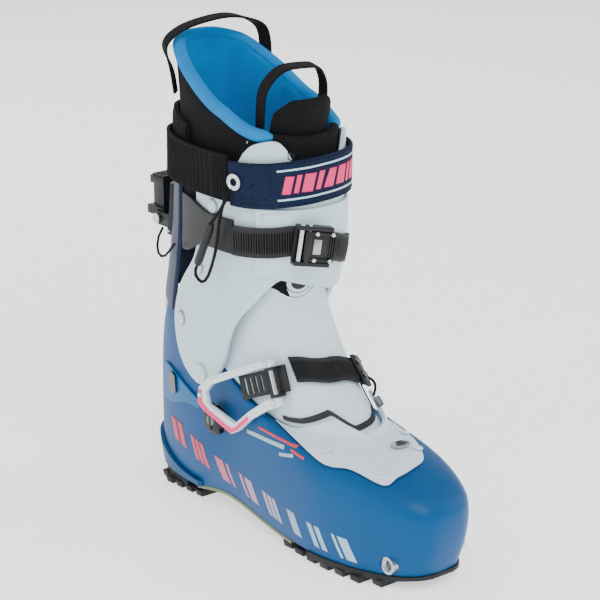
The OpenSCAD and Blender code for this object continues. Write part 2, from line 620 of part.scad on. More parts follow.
// Local axes: x up along the hinge pin, y along the lever towards the heel, z outwards
arm_top = 10.6;
arm_low = -13;
module lower_lever() {
    color("white") on_lever() difference() {
        translate([0, 0, -2.5]) linear_extrude(height = 5) polygon([
            [15.6, -3], [15.6, 12], [13, 57], [8, 67], [-3, 71], [-9, 68], [-31, 47], [-30, 40], [-24, 27],
            [-20, 10], [-19, -3], [arm_low, -3], [arm_low, 10], [-18, 27], [-24.5, 42], [-6, 62.5], [3, 62],
            [7.5, 55], [arm_top, 12], [arm_top, -3]]);
        rotate([0, 90, 0]) cylinder(d = buckle_pin_d + 0.2, h = 80, center = true, $fn = 32);
    }
}
module lever_grip() {
    color("deeppink") on_lever() translate([0, 0, 2.5 + gap / 3]) linear_extrude(height = 1) polygon([
        [7, 66.5], [-3, 70.5], [-9, 67.5], [-30.5, 47], [-29.5, 40.5], [-23.6, 27.5], [-21, 28.5], [-27, 42],
        [-27.5, 45], [-8, 64], [-3, 66.5], [5, 65]]);
}
module lever_pin() {
    color("silver") on_lever() translate([-20.5, 0, 0]) rotate([0, 90, 0]) cylinder(d = buckle_pin_d, h = 37.5, $fn = 32);
}
module buckle_base() {
    color("black") on_lever() difference() {
        union() {
            translate([-10, -9, -6.4]) cube([20, 18, 1.6]);
            for (x = [-12.4, 7.6]) translate([x, -4, -6.4]) cube([2.4, 8, 8.8]);
            translate([-12.4, -4, -6.4]) cube([22.4, 8, 1.6]);
            difference() {
                translate([-9, 9, -6]) cube([18, 25, 1.4]);
                for (k = [0 : 3]) translate([-6, 13 + k * 5, -8]) cube([12, 2, 6]);
            }
        }
        rotate([0, 90, 0]) cylinder(d = buckle_pin_d, h = 80, center = true, $fn = 32);
    }
}
// Path of the strap over the instep, as a share of the gaiter's height
strap_path = [[128, 0.49], [150, 0.52], [178, 0.53], [205, 0.45], [222, 0.38]];
strap_half = lower_ladder_h / 2 / 108;
on_instep = function (u, w, o) instep(u, w, o);
module lower_strap() {
    color("black") patch(on_instep, 134, 222, 22, function (u) curve(u, strap_path) - strap_half,
                         function (u) curve(u, strap_path) + strap_half, 2, 1.4, 1.4 + ladder_t);
}
module strap_clamp() {
    color("black") patch(on_instep, 203, 222, 6, function (u) curve(u, strap_path) - strap_half - 0.03,
                         function (u) curve(u, strap_path) + strap_half + 0.02, 2, 1.7 + ladder_t, 4.4 + ladder_t);
}
module clamp_bolts() {
    color("gray") for (q = [[207, 0.50], [207, 0.40]])
        at(instep(q[0], q[1], 4.8 + ladder_t), [0, 1, 0.5], normal_of(on_instep, q[0], q[1])) rivet(6, 2);
}
module instep_cable() {
    color("black") tube([for (k = [0 : 10]) instep(mix(225, 214, k / 10), mix(0.33, 0.22, k / 10), 5 + 4 * sin(k * 18))], 2);
}
module cable_ferrule() {
    color("gray") at(instep(213, 0.17, 6), [1, 0, 0], [0.2, -0.7, -0.6]) cylinder(d = 5, h = 7, center = true, $fn = 32);
}

// ---- tension knob behind the lower lever ----
knob_at = [-kw * 43.2, 48, 79];
module knob_post() {
    color("silver") translate(knob_at) rotate([0, -90, 0]) cylinder(d = 8, h = 1.4, $fn = 32);
}
module tension_knob() {
    color("black") translate(knob_at - [1.7, 0, 0]) rotate([0, -90, 0]) difference() {
        union() {
            cylinder(d = 24, h = 3.5, $fn = 48);
            translate([0, 0, 3.5]) cylinder(d1 = 24, d2 = 18, h = 2, $fn = 48);
        }
        for (q = [0 : 60 : 300]) rotate([0, 0, q]) translate([14.2, 0, -1]) cylinder(d = 8, h = 12, $fn = 24);
    }
}

// ---- walk lever and lock bar at the back ----
lever_x = -8;
hinge_y = 149;
hinge_z = 208;
module lever_housing() {
    color("black") difference() {
        union() {
            patch(on_cuff, -4, 25, 8, function (a) 203, function (a) 240, 4, gap, 3.6);
            for (side = [-1, 1])
                translate([lever_x + side * (lever_w / 2 + 1.9) - 1.5, 128, hinge_z - 5]) cube([3, hinge_y - 123, 10]);
        }
        patch(on_cuff, -40, 40, 20, function (a) 180, function (a) 250, 6, -12, gap);
        across(hinge_y, hinge_z) cylinder(d = lever_pin_d, h = 120, center = true, $fn = 32);
    }
}
module lever_hinge_pin() {
    color("silver") translate([lever_x, 0, 0]) across(hinge_y, hinge_z) {
        cylinder(d = lever_pin_d, h = lever_w + 8, center = true, $fn = 32);
        for (side = [-1, 1]) scale([1, 1, side]) translate([0, 0, lever_w / 2 + 4]) cylinder(d = 8, h = 1.6, $fn = 32);
    }
}
module lock_lever() {
    color("black") difference() {
        union() {
            translate([lever_x, 0, 0]) across(hinge_y, hinge_z) cylinder(d = 9, h = lever_w, center = true, $fn = 32);
            translate([lever_x - lever_w / 2, 146, hinge_z]) cube([lever_w, 21, 7]);
            translate([lever_x - lever_w / 2 + 2.5, 149, hinge_z + 6]) cube([lever_w - 5, 13, 20]);
            translate([lever_x - lever_w / 2, 146, hinge_z + 25]) cube([lever_w, 17, 6]);
        }
        across(hinge_y, hinge_z) cylinder(d = lever_pin_d + 0.2, h = 120, center = true, $fn = 32);
    }
}
// Lock bar: a flat link that swings behind the spine
bar_y = 141.8;
bar_z = 198;
module lock_bar() {
    color("white") translate([lever_x, bar_y, bar_z]) rotate([10, 0, 0]) difference() {
        translate([-5, -1.5, -68]) cube([10, 3, 72]);
        rotate([0, 90, 0]) cylinder(d = bar_pin_d + 0.2, h = 40, center = true, $fn = 32);
    }
}
bar_pin_d = 1.6;
module bar_pin() {
    color("silver") translate([lever_x, 0, 0]) across(bar_y, bar_z) cylinder(d = bar_pin_d, h = 17, center = true, $fn = 32);
}
module bar_bracket() {
    color("black") difference() {
        for (side = [-1, 1])
            translate([lever_x + side * 6.6 - 1.2, 130, bar_z - 3]) cube([2.4, bar_y - 127, 6]);
        patch(on_cuff, -40, 40, 20, function (a) 180, function (a) 250, 6, -12, gap);
        across(bar_y, bar_z) cylinder(d = bar_pin_d, h = 40, center = true, $fn = 32);
    }
}
module spine_catch() {
    color("silver") patch(function (u, v, o) low(u, v, o), 3, 13, 3, function (u) 0.70, function (u) 0.76, 2, gap, 1.6);
}
module lever_cable() {
    color("black") tube([[-22, 142, 202], [-27, 141, 196], [-32, 136, 191], [-37, 128, 188], [-41, 119, 188], [-44, 110, 191], [-47, 101, 197], [-48.5, 92, 205]], 2);
}

lower_shell();
heel_cap();
outsole_front();
outsole_heel();
arch_insert();
toe_inserts();
heel_insert();
heel_screw();
instep_plate();
plate_rivets();
plate_badge();
gaiter();
gaiter_welt();
pivot_pins();
ankle_shields();
ankle_lenses();
boot_board();
footbed();
liner_foot();
lower_strap();
strap_clamp();
clamp_bolts();
instep_cable();
cable_ferrule();
buckle_base();
lower_lever();
lever_grip();
lever_pin();
tension_knob();
knob_post();
spine_catch();
cuff_shell();
cuff_flap();
rear_spine();
rear_pad();
cuff_rivets();
liner_cuff();
liner_tongue();
rear_loop();
front_loop();
power_strap();
strap_elastic();
strap_eyelet();
strap_cord();
cord_toggle();
strap_bracket();
ladder_strap();
upper_buckle();
upper_latch();
latch_pin();
roller_pin();
lever_housing();
lever_hinge_pin();
lock_lever();
lock_bar();
bar_pin();
bar_bracket();
lever_cable();
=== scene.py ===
# Alpine touring boot, right foot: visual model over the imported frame.
# Metres, toe towards -Y, outer side towards -X.
import bpy
import bmesh
import json
from math import sin, cos, pi, radians, sqrt, atan2
from mathutils import Vector, Matrix
from mathutils.bvhtree import BVHTree


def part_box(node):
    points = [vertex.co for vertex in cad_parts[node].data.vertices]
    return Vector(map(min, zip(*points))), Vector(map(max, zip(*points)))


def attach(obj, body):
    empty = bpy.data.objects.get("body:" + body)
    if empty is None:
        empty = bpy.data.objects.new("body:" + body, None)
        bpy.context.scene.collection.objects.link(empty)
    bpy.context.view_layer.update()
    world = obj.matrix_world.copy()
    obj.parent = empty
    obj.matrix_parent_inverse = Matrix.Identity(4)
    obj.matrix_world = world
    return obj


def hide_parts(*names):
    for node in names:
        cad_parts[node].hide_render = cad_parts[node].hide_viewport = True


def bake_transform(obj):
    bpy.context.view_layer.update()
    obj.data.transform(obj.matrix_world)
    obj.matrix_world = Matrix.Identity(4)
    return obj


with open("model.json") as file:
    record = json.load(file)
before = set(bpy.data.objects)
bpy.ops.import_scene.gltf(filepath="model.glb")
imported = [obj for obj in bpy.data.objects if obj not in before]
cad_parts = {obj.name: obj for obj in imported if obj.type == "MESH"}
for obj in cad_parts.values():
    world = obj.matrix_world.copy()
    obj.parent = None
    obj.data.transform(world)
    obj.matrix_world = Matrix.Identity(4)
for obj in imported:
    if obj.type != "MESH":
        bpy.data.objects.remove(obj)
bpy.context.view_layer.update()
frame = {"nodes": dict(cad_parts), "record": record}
nodes = frame["nodes"]
MM = 0.001


def deselect():
    if bpy.context.mode != "OBJECT":
        bpy.ops.object.mode_set(mode="OBJECT")
    bpy.ops.object.select_all(action="DESELECT")


def pick(obj):
    deselect()
    obj.select_set(True)
    bpy.context.view_layer.objects.active = obj
    return obj


deselect()

# ---------- camera, floor, light ----------
aim = Vector((0, 0.005, 0.173))
az, el, away = radians(-40), radians(18), 1.6
back = Vector((sin(az) * cos(el), -cos(az) * cos(el), sin(el)))
cam = bpy.data.objects.new("camera", bpy.data.cameras.new("camera"))
cam.data.sensor_width = 36
cam.data.lens = 131.5
cam.location = aim + back * away
cam.rotation_mode = "QUATERNION"
cam.rotation_quaternion = (-back).to_track_quat("-Z", "Y")
bpy.context.collection.objects.link(cam)
bpy.context.scene.camera = cam


def area_light(name, where, size, power, tint=(1, 1, 1)):
    lamp = bpy.data.objects.new(name, bpy.data.lights.new(name, "AREA"))
    lamp.data.shape = "RECTANGLE"
    lamp.data.size, lamp.data.size_y = size
    lamp.data.energy = power
    lamp.data.color = tint
    lamp.location = where
    lamp.rotation_mode = "QUATERNION"
    lamp.rotation_quaternion = (Vector((0, 0.01, 0.16)) - Vector(where)).to_track_quat("-Z", "Y")
    bpy.context.collection.objects.link(lamp)


area_light("soft_key", (-0.5, -1.2, 1.5), (1.3, 1.0), 24)
area_light("side_fill", (-1.7, 0.3, 0.7), (1.2, 1.2), 9)
area_light("far_fill", (1.5, -0.9, 0.9), (1.2, 1.2), 9)
area_light("rim", (0.5, 1.6, 1.2), (1.4, 1.0), 12)
world = bpy.data.worlds.new("studio")
bpy.context.scene.world = world
world.use_nodes = True
world.node_tree.nodes["Background"].inputs["Color"].default_value = (0.93, 0.95, 0.97, 1)
world.node_tree.nodes["Background"].inputs["Strength"].default_value = 0.72


# ---------- materials ----------
def linear(code):
    out = []
    for i in (0, 2, 4):
        c = int(code[i:i + 2], 16) / 255
        out.append(c / 12.92 if c <= 0.04045 else ((c + 0.055) / 1.055) ** 2.4)
    return (*out, 1.0)


def add(tree, kind, links=(), **settings):
    """Adds a node; settings are its properties or sockets by name, links are (socket, source output)."""
    n = tree.nodes.new(kind)
    for key, value in settings.items():
        if hasattr(n, key):
            setattr(n, key, value)
        else:
            n.inputs[key.replace("_", " ")].default_value = value
    for socket, source in links:
        tree.links.new(source, n.inputs[socket])
    return n


def start(name, colour, rough, metal=0.0, **more):
    m = bpy.data.materials.new(name)
    m.use_nodes = True
    m.diffuse_color = colour
    t = m.node_tree
    b = t.nodes["Principled BSDF"]
    b.inputs["Base Color"].default_value = colour
    b.inputs["Roughness"].default_value = rough
    b.inputs["Metallic"].default_value = metal
    for key, value in more.items():
        b.inputs[key.replace("_", " ")].default_value = value
    return m, t, b


def place(t):
    return add(t, "ShaderNodeTexCoord").outputs["Object"]


def mottle(t, b, colour, scale, amount, detail=4.0):
    """Slow change of tone over the surface: resin flow, dye take-up or handling."""
    n = add(t, "ShaderNodeTexNoise", [("Vector", place(t))], Scale=scale, Detail=detail)
    dark = tuple(c * (1 - amount) for c in colour[:3]) + (1,)
    light = tuple(min(1, c * (1 + amount)) for c in colour[:3]) + (1,)
    r = add(t, "ShaderNodeValToRGB", [("Fac", n.outputs["Fac"])])
    r.color_ramp.elements[0].position, r.color_ramp.elements[0].color = 0.3, dark
    r.color_ramp.elements[1].position, r.color_ramp.elements[1].color = 0.7, light
    t.links.new(r.outputs["Color"], b.inputs["Base Color"])
    return r.outputs["Color"]


def grain(t, b, scale, strength, depth, kind="ShaderNodeTexNoise", **settings):
    """Fine surface relief, as left by the mould, the thread or the abrasive."""
    n = add(t, kind, [("Vector", place(t))], Scale=scale, **settings)
    height = n.outputs["Fac"] if "Fac" in n.outputs else n.outputs["Distance"]
    bump = add(t, "ShaderNodeBump", [("Height", height)], Strength=strength, Distance=depth)
    t.links.new(bump.outputs["Normal"], b.inputs["Normal"])
    return bump


def rough_range(t, b, scale, low, high):
    n = add(t, "ShaderNodeTexNoise", [("Vector", place(t))], Scale=scale, Detail=5.0)
    r = add(t, "ShaderNodeMapRange", [("Value", n.outputs["Fac"])], To_Min=low, To_Max=high)
    t.links.new(r.outputs["Result"], b.inputs["Roughness"])


def maths(t, op, a, c=None):
    n = t.nodes.new("ShaderNodeMath")
    n.operation = op
    for i, v in enumerate((a, c)):
        if v is None:
            continue
        if isinstance(v, (int, float)):
            n.inputs[i].default_value = v
        else:
            t.links.new(v, n.inputs[i])
    return n.outputs[0]


def mixed(t, fac, a, c):
    n = add(t, "ShaderNodeMix", data_type="RGBA")
    t.links.new(fac, n.inputs[0])
    for i, v in ((6, a), (7, c)):
        if isinstance(v, tuple):
            n.inputs[i].default_value = v
        else:
            t.links.new(v, n.inputs[i])
    return n.outputs[2]


# Moulded polyamide, satin: a fine spark-eroded grain that breaks the highlights, drawn at 0.8 mm so it shows
def moulded(name, code, rough=0.4, amount=0.05, fine=1300, depth=0.00006, coat=0.0, shine=0.5):
    c = linear(code)
    m, t, b = start(name, c, rough, IOR=1.5, Coat_Weight=coat, Coat_Roughness=0.3, Specular_IOR_Level=shine)
    mottle(t, b, c, 14, amount)
    rough_range(t, b, 55, rough - 0.06, rough + 0.08)
    grain(t, b, fine, 0.35, depth, Detail=2.0)
    return m


polyamide_blue = moulded("moulded_polyamide_blue", "004a80", 0.44, 0.05, shine=0.22)
polyamide_ledge = moulded("moulded_polyamide_blue_ledge", "004474", 0.46, 0.06, shine=0.22)
polyamide_shield = moulded("moulded_polyamide_shield", "005d92", 0.38, 0.05, shine=0.3)
polyamide_white = moulded("moulded_polyamide_white", "c4dbe2", 0.42, 0.025)
polyamide_plate = moulded("moulded_polyamide_plate", "d6e8f0", 0.38, 0.02)
polyamide_black = moulded("moulded_polyamide_black", "0d0f11", 0.45, 0.18, shine=0.4)
polyamide_spine = moulded("moulded_polyamide_spine", "0a2342", 0.45, 0.12, shine=0.3)
strap_black = moulded("moulded_polyurethane_strap", "0d0f11", 0.5, 0.2, shine=0.35)
tread_rubber = moulded("moulded_sole_rubber", "101215", 0.7, 0.25, 700, 0.00012)
arch_yellow = moulded("moulded_arch_insert", "6f7a5c", 0.6, 0.08)
lens_dark = moulded("moulded_lens_smoked", "10283a", 0.22, 0.1, coat=0.5)
welt_grey = moulded("pressed_welt_film", "0e1216", 0.5, 0.12)


# Steel: fine brushing, drawn as noise about 1 mm across stretched along Z
def metal(name, code, rough, scale=900, metallic=1.0):
    c = linear(code)
    m, t, b = start(name, c, rough, metallic)
    p = add(t, "ShaderNodeMapping", [("Vector", place(t))], Scale=(1.0, 1.0, 0.06))
    n = add(t, "ShaderNodeTexNoise", [("Vector", p.outputs["Vector"])], Scale=scale, Detail=3.0)
    r = add(t, "ShaderNodeMapRange", [("Value", n.outputs["Fac"])], To_Min=rough - 0.08, To_Max=rough + 0.1)
    t.links.new(r.outputs["Result"], b.inputs["Roughness"])
    bump = add(t, "ShaderNodeBump", [("Height", n.outputs["Fac"])], Strength=0.15, Distance=0.00004)
    t.links.new(bump.outputs["Normal"], b.inputs["Normal"])
    return m


steel = metal("brushed_stainless_steel", "c9ccd0", 0.26)
dark_steel = metal("burnished_steel", "6c7076", 0.34)
badge_metal = metal("stamped_aluminium_badge", "a9acae", 0.36)
toe_steel = metal("turned_steel_socket", "b9bfc4", 0.3)
lever_white = moulded("powder_coated_aluminium_white", "dfe8ea", 0.3, 0.02, 2200, 0.00003, coat=0.2)
lever_pink = moulded("gloss_coat_pink", "f02a72", 0.3, 0.04, 2200, 0.00003, coat=0.3)


# Woven or knitted cloth: three crossed waves, 0.6 of the given spacing apart, with fuzz
def cloth(name, code, spacing, rough=0.85, amount=0.12, depth=0.00025, sheen=0.3, tint=None):
    c = linear(code)
    m, t, b = start(name, c, rough, Sheen_Weight=sheen, Sheen_Roughness=0.5)
    tone = mottle(t, b, c, 30, amount)
    p = place(t)
    k = 1 / spacing
    waves = [add(t, "ShaderNodeTexWave", [("Vector", p)], bands_direction=d,
                 Scale=k / 2 / 3.14159 * 3.2, Distortion=0.6, Detail=1.0).outputs["Fac"] for d in "XYZ"]
    total = maths(t, "ADD", waves[0], maths(t, "ADD", waves[1], waves[2]))
    fuzz = add(t, "ShaderNodeTexNoise", [("Vector", p)], Scale=1500, Detail=2.0)
    height = maths(t, "ADD", total, maths(t, "MULTIPLY", fuzz.outputs["Fac"], 0.8))
    bump = add(t, "ShaderNodeBump", [("Height", height)], Strength=0.5, Distance=depth)
    t.links.new(bump.outputs["Normal"], b.inputs["Normal"])
    shade = maths(t, "MULTIPLY", total, 0.1)
    t.links.new(mixed(t, shade, tone, tint or tuple(min(1, x * 1.6 + 0.01) for x in c[:3]) + (1,)),
                b.inputs["Base Color"])
    b.inputs["Specular IOR Level"].default_value = 0.2
    return m


knit_blue = cloth("brushed_knit_blue", "0076b8", 0.0011, 0.85, 0.08, 0.0002, 0.0)
knit_black = cloth("stretch_knit_black", "090a0c", 0.0012, 0.95, 0.2, 0.0003, 0.0)
padding_black = cloth("padded_mesh_black", "0b0b0d", 0.0016, 0.95, 0.2, 0.0004, 0.0)
webbing_black = cloth("woven_webbing_black", "08090a", 0.0015, 0.85, 0.2, 0.0004, 0.0)
webbing_navy = cloth("woven_webbing_navy", "081833", 0.0014, 0.85, 0.15, 0.0004, 0.0)
elastic_black = cloth("woven_elastic_black", "08090b", 0.0018, 0.88, 0.2, 0.0005, 0.0)
braid_black = cloth("braided_cord_black", "08090a", 0.0009, 0.8, 0.2, 0.0003, 0.0)
foam_grey = cloth("foam_footbed", "3d4045", 0.002, 0.95, 0.15)
print_pink = moulded("screen_print_pink", "e81f6c", 0.55, 0.05, 2000, 0.00002)
print_sky = moulded("screen_print_sky", "b8d6e8", 0.55, 0.05, 2000, 0.00002)
print_red = moulded("pad_print_red", "cf3547", 0.45, 0.05, 2000, 0.00002)
print_silver = moulded("pad_print_silver", "9db7c6", 0.4, 0.05, 2000, 0.00002)
floor_paint = moulded("studio_floor", "fafbfc", 0.9, 0.01, 40, 0.00001)
floor_paint.node_tree.nodes["Principled BSDF"].inputs["Emission Color"].default_value = (1, 1, 1, 1)
floor_paint.node_tree.nodes["Principled BSDF"].inputs["Emission Strength"].default_value = 0.9


# Coated gaiter cloth: smooth face, faint ripstop squares 3 mm apart, printed ring at the throat
def gaiter_cloth():
    c = linear("d2e4ee")
    m, t, b = start("coated_gaiter_cloth", c, 0.55, Sheen_Weight=0.1)
    tone = mottle(t, b, c, 16, 0.03)
    p = place(t)
    xyz = add(t, "ShaderNodeSeparateXYZ", [("Vector", p)])
    dx = maths(t, "ADD", xyz.outputs["X"], 0.011)
    dz = maths(t, "SUBTRACT", xyz.outputs["Z"], 0.192)
    r = maths(t, "SQRT", maths(t, "ADD", maths(t, "MULTIPLY", dx, dx), maths(t, "MULTIPLY", dz, dz)))
    front = maths(t, "LESS_THAN", xyz.outputs["Y"], 0.006)
    disc = maths(t, "LESS_THAN", r, 0.0056)
    ring1 = maths(t, "LESS_THAN", maths(t, "ABSOLUTE", maths(t, "SUBTRACT", r, 0.0084)), 0.00035)
    ring2 = maths(t, "LESS_THAN", maths(t, "ABSOLUTE", maths(t, "SUBTRACT", r, 0.0122)), 0.00035)
    mark = maths(t, "MULTIPLY", front, maths(t, "MAXIMUM", disc, maths(t, "MAXIMUM", ring1, ring2)))
    t.links.new(mixed(t, mark, tone, linear("0f1113")), b.inputs["Base Color"])
    wave = [add(t, "ShaderNodeTexWave", [("Vector", p)], bands_direction=d,
                Scale=100.0, Distortion=0.3).outputs["Fac"] for d in "XZ"]
    ripstop = maths(t, "MAXIMUM", maths(t, "POWER", wave[0], 12.0), maths(t, "POWER", wave[1], 12.0))
    fold = add(t, "ShaderNodeTexNoise", [("Vector", p)], Scale=28.0, Detail=3.0)
    h = maths(t, "ADD", maths(t, "MULTIPLY", ripstop, 0.12), maths(t, "MULTIPLY", fold.outputs["Fac"], 1.6))
    bump = add(t, "ShaderNodeBump", [("Height", h)], Strength=0.35, Distance=0.0012)
    t.links.new(bump.outputs["Normal"], b.inputs["Normal"])
    return m


gaiter_white = gaiter_cloth()


def paint(obj, material):
    obj.data.materials.clear()
    obj.data.materials.append(material)
    return obj


FINISH = {
    "lower_shell": polyamide_blue, "heel_cap": polyamide_ledge, "ankle_shields": polyamide_shield,
    "outsole_front": tread_rubber, "outsole_heel": tread_rubber, "arch_insert": arch_yellow,
    "toe_inserts": toe_steel, "heel_insert": steel, "heel_screw": dark_steel, "pivot_pins": polyamide_white,
    "lever_pin": steel, "latch_pin": steel, "roller_pin": steel, "lever_hinge_pin": steel, "bar_pin": steel,
    "strap_eyelet": steel, "plate_badge": badge_metal, "knob_post": steel, "spine_catch": steel,
    "clamp_bolts": dark_steel, "instep_plate": polyamide_plate, "plate_rivets": polyamide_plate,
    "cuff_shell": polyamide_white, "cuff_flap": polyamide_white, "cuff_rivets": polyamide_white,
    "gaiter": gaiter_white, "gaiter_welt": welt_grey, "ankle_lenses": lens_dark, "lower_strap": strap_black,
    "strap_clamp": polyamide_black, "instep_cable": braid_black, "cable_ferrule": dark_steel,
    "buckle_base": polyamide_black, "tension_knob": polyamide_black, "strap_bracket": polyamide_black,
    "ladder_strap": strap_black, "upper_buckle": polyamide_black, "upper_latch": polyamide_black,
    "lever_housing": polyamide_black, "lock_lever": polyamide_black, "bar_bracket": polyamide_black,
    "lever_cable": braid_black, "cord_toggle": polyamide_black, "boot_board": polyamide_black,
    "footbed": foam_grey, "liner_foot": knit_black, "liner_tongue": padding_black, "rear_pad": padding_black,
    "rear_loop": webbing_black, "front_loop": webbing_black, "strap_elastic": elastic_black,
    "strap_cord": braid_black, "liner_cuff": knit_black, "lower_lever": lever_white, "lock_bar": lever_white,
    "lever_grip": lever_pink, "power_strap": webbing_navy, "rear_spine": polyamide_spine,
}
for name, material in FINISH.items():
    paint(nodes[name], material)
body_of = {n: b for b, ns in frame["record"]["behaviour"]["bodies"].items() for n in ns}


# ---------- the part's own surfaces, in millimetres ----------
def mix(a, b, t):
    return a + (b - a) * t


def clip(x, lo, hi):
    return max(lo, min(hi, x))


def ease(x, a, b):
    t = clip((x - a) / (b - a), 0, 1)
    return t * t * (3 - 2 * t)


def spow(x, e):
    return (1 if x >= 0 else -1) * abs(x) ** e


def slope(p, i):
    if i == 0 or i == len(p) - 1:
        return 0
    a = (p[i][1] - p[i - 1][1]) / (p[i][0] - p[i - 1][0])
    c = (p[i + 1][1] - p[i][1]) / (p[i + 1][0] - p[i][0])
    return 0 if a * c <= 0 else 2 * a * c / (a + c)


def curve(x, p):
    i = 0
    while i < len(p) - 2 and x >= p[i + 1][0]:
        i += 1
    w = p[i + 1][0] - p[i][0]
    t = clip((x - p[i][0]) / w, 0, 1)
    m0, m1 = slope(p, i) * w, slope(p, i + 1) * w
    return ((2 * t ** 3 - 3 * t * t + 1) * p[i][1] + (t ** 3 - 2 * t * t + t) * m0
            + (3 * t * t - 2 * t ** 3) * p[i + 1][1] + (t ** 3 - t * t) * m1)


RIM_W = [[-80, 30], [-40, 36], [0, 37], [60, 41], [100, 40.2], [134, 38]]
RIM_Z = [[-80, 90], [-30, 89], [0, 94], [38, 114], [66, 128], [100, 142], [134, 148]]
CUFF_FRONT = [[95, 46], [150, 46], [187, 51], [222, 61], [300, 60]]
CUFF_BACK = [[95, 112], [130, 111], [150, 108], [190, 99], [222, 94], [250, 91], [300, 88]]
CUFF_HALF = [[95, 46], [150, 46], [200, 45], [250, 46], [300, 48]]
RIM_TOP = [[0, 0], [35, -4], [65, -20], [95, -42], [125, -51], [180, -54]]
STRAP_MID = [[0, 270], [60, 268], [110, 266], [160, 270], [200, 272], [300, 270]]
LADDER_MID = [[104, 224], [135, 226], [153, 228], [180, 221], [205, 214]]
STRAP_PATH = [[128, 0.49], [150, 0.52], [178, 0.53], [205, 0.45], [222, 0.38]]
STRAP_O = 2.9


def cuff(a, z, o=0.0):
    c, s = cos(radians(a)), sin(radians(a))
    w = curve(z, CUFF_HALF) * (1 - 0.10 * ease(c, 0.2, 1)) + o
    h = (curve(z, CUFF_BACK) if c >= 0 else curve(z, CUFF_FRONT)) + o
    return Vector((-w * spow(s, 0.7 if c >= 0 else 0.84), 40 + h * spow(c, 0.8 if c >= 0 else 0.92), z))


def instep(u, w, o):
    c, s = cos(radians(u)), sin(radians(u))
    y = 29 + 109 * spow(c, 0.8)
    half = curve(y, RIM_W) + o - 0.3
    t = Vector((-half * spow(s, 0.8), 29 + (109 + o - 0.3) * spow(c, 0.8), curve(y, RIM_Z) + 1.9))
    y = 40 + 44 * spow(c, 0.9)
    n = Vector((-(34 + o) * spow(s, 0.9), 40 + (44 + o) * spow(c, 0.9),
                110 + sqrt(95 ** 2 - (y - 66) ** 2) - 18 * ease(y, 0, 45)))
    g, k = 1 - (1 - w) ** 1.25, w ** 1.2
    return Vector((mix(t.x, n.x, g), mix(t.y, n.y, g), mix(t.z, n.z, k) + o * 0.8 * (1 - w)))


def rim_height(a):
    """Height of the liner's rim, a in degrees from the back."""
    return 354 + curve(min(a % 360, 360 - a % 360), RIM_TOP)


def liner(a, v, o):
    q = cuff(a, 210, o - 4.4)
    z0 = 110 + sqrt(103 ** 2 - (min(q.y, 150) - 66) ** 2)
    z = mix(z0, rim_height(a), v)
    flare = 3 * ease(z, 304, 354) * ease(cos(radians(a)), -0.3, 1)
    p = cuff(a, min(z, 300), o - 4.4 + flare)
    p.z = z
    return p


# ---------- builders ----------
def new_mesh(name, points, faces, material, body=None):
    """A surface that follows a formula, from its points in millimetres; no primitive has its shape."""
    me = bpy.data.meshes.new(name)
    me.from_pydata([tuple(Vector(p) * MM) for p in points], [], faces)
    obj = bpy.data.objects.new(name, me)
    bpy.context.collection.objects.link(obj)
    bm = bmesh.new()
    bm.from_mesh(me)
    bmesh.ops.recalc_face_normals(bm, faces=bm.faces)
    bm.to_mesh(me)
    bm.free()
    paint(obj, material)
    for f in me.polygons:
        f.use_smooth = True
    if body:
        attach(obj, body)
    return obj


def sheet_faces(n, m):
    """Faces of a closed sheet: two grids of n by m cells, outer layer first, joined round their edges."""
    row, half = n + 1, (n + 1) * (m + 1)
    faces = []
    for j in range(m):
        for i in range(n):
            q = [j * row + i, j * row + i + 1, (j + 1) * row + i + 1, (j + 1) * row + i]
            faces += [q, [half + k for k in reversed(q)]]
    edge = ([(i, i + 1) for i in range(n)]
            + [(j * row + n, (j + 1) * row + n) for j in range(m)]
            + [(m * row + i + 1, m * row + i) for i in range(n)]
            + [((j + 1) * row, j * row) for j in range(m)])
    return faces + [[q, p, p + half, q + half] for p, q in edge]


def slab(name, f, a0, a1, n, lo, hi, m, o_in, o_out, material):
    """A closed curved slab on the surface f(a, b, offset); lo, hi, o_in and o_out may vary along it."""
    def value(x, *args):
        return x(*args) if callable(x) else x
    pts = []
    for layer in (o_out, o_in):
        for j in range(m + 1):
            for i in range(n + 1):
                a = mix(a0, a1, i / n)
                b = mix(value(lo, a), value(hi, a), j / m)
                pts.append(f(a, b, value(layer, a, j / m)))
    return new_mesh(name, pts, sheet_faces(n, m), material)


def refine(obj, bevel=0.3, levels=1, angle=30, smooth_at=40):
    pick(obj)
    if bevel:
        mod = obj.modifiers.new("edge", "BEVEL")
        mod.width, mod.segments, mod.limit_method, mod.angle_limit = bevel * MM, 2, "ANGLE", radians(angle)
        bpy.ops.object.modifier_apply(modifier="edge")
    if levels:
        mod = obj.modifiers.new("fair", "SUBSURF")
        mod.levels = mod.render_levels = levels
        bpy.ops.object.modifier_apply(modifier="fair")
    bpy.ops.object.shade_smooth_by_angle(angle=radians(smooth_at))
    return obj


def axes(p, y_axis, z_axis):
    y = Vector(y_axis).normalized()
    z = (Vector(z_axis) - y * Vector(z_axis).dot(y)).normalized()
    x = y.cross(z)
    m = Matrix((x, y, z)).transposed().to_4x4()
    m.translation = Vector(p) * MM
    return m


def normal_of(f, a, b):
    h = 1 if b > 10 else 0.01
    p = f(a, b, 0)
    return -((f(a, b + h, 0) - p).cross(f(a + 1, b, 0) - p)).normalized()


def place_mesh(obj, m):
    obj.data.transform(m)
    obj.matrix_world = Matrix.Identity(4)
    obj.data.update()
    return obj


def block(name, m, lo, hi, material, bevel=0.5):
    """A moulded block: a cube primitive scaled to its corners, with rounded edges."""
    deselect()
    bpy.ops.mesh.primitive_cube_add(size=1)
    obj = bpy.context.object
    obj.name = name
    lo, hi = Vector(lo) * MM, Vector(hi) * MM
    size, mid = hi - lo, (hi + lo) / 2
    place_mesh(obj, m @ Matrix.Translation(mid) @ Matrix.Diagonal((*size, 1)))
    paint(obj, material)
    return refine(obj, bevel, 0, 30, 40)


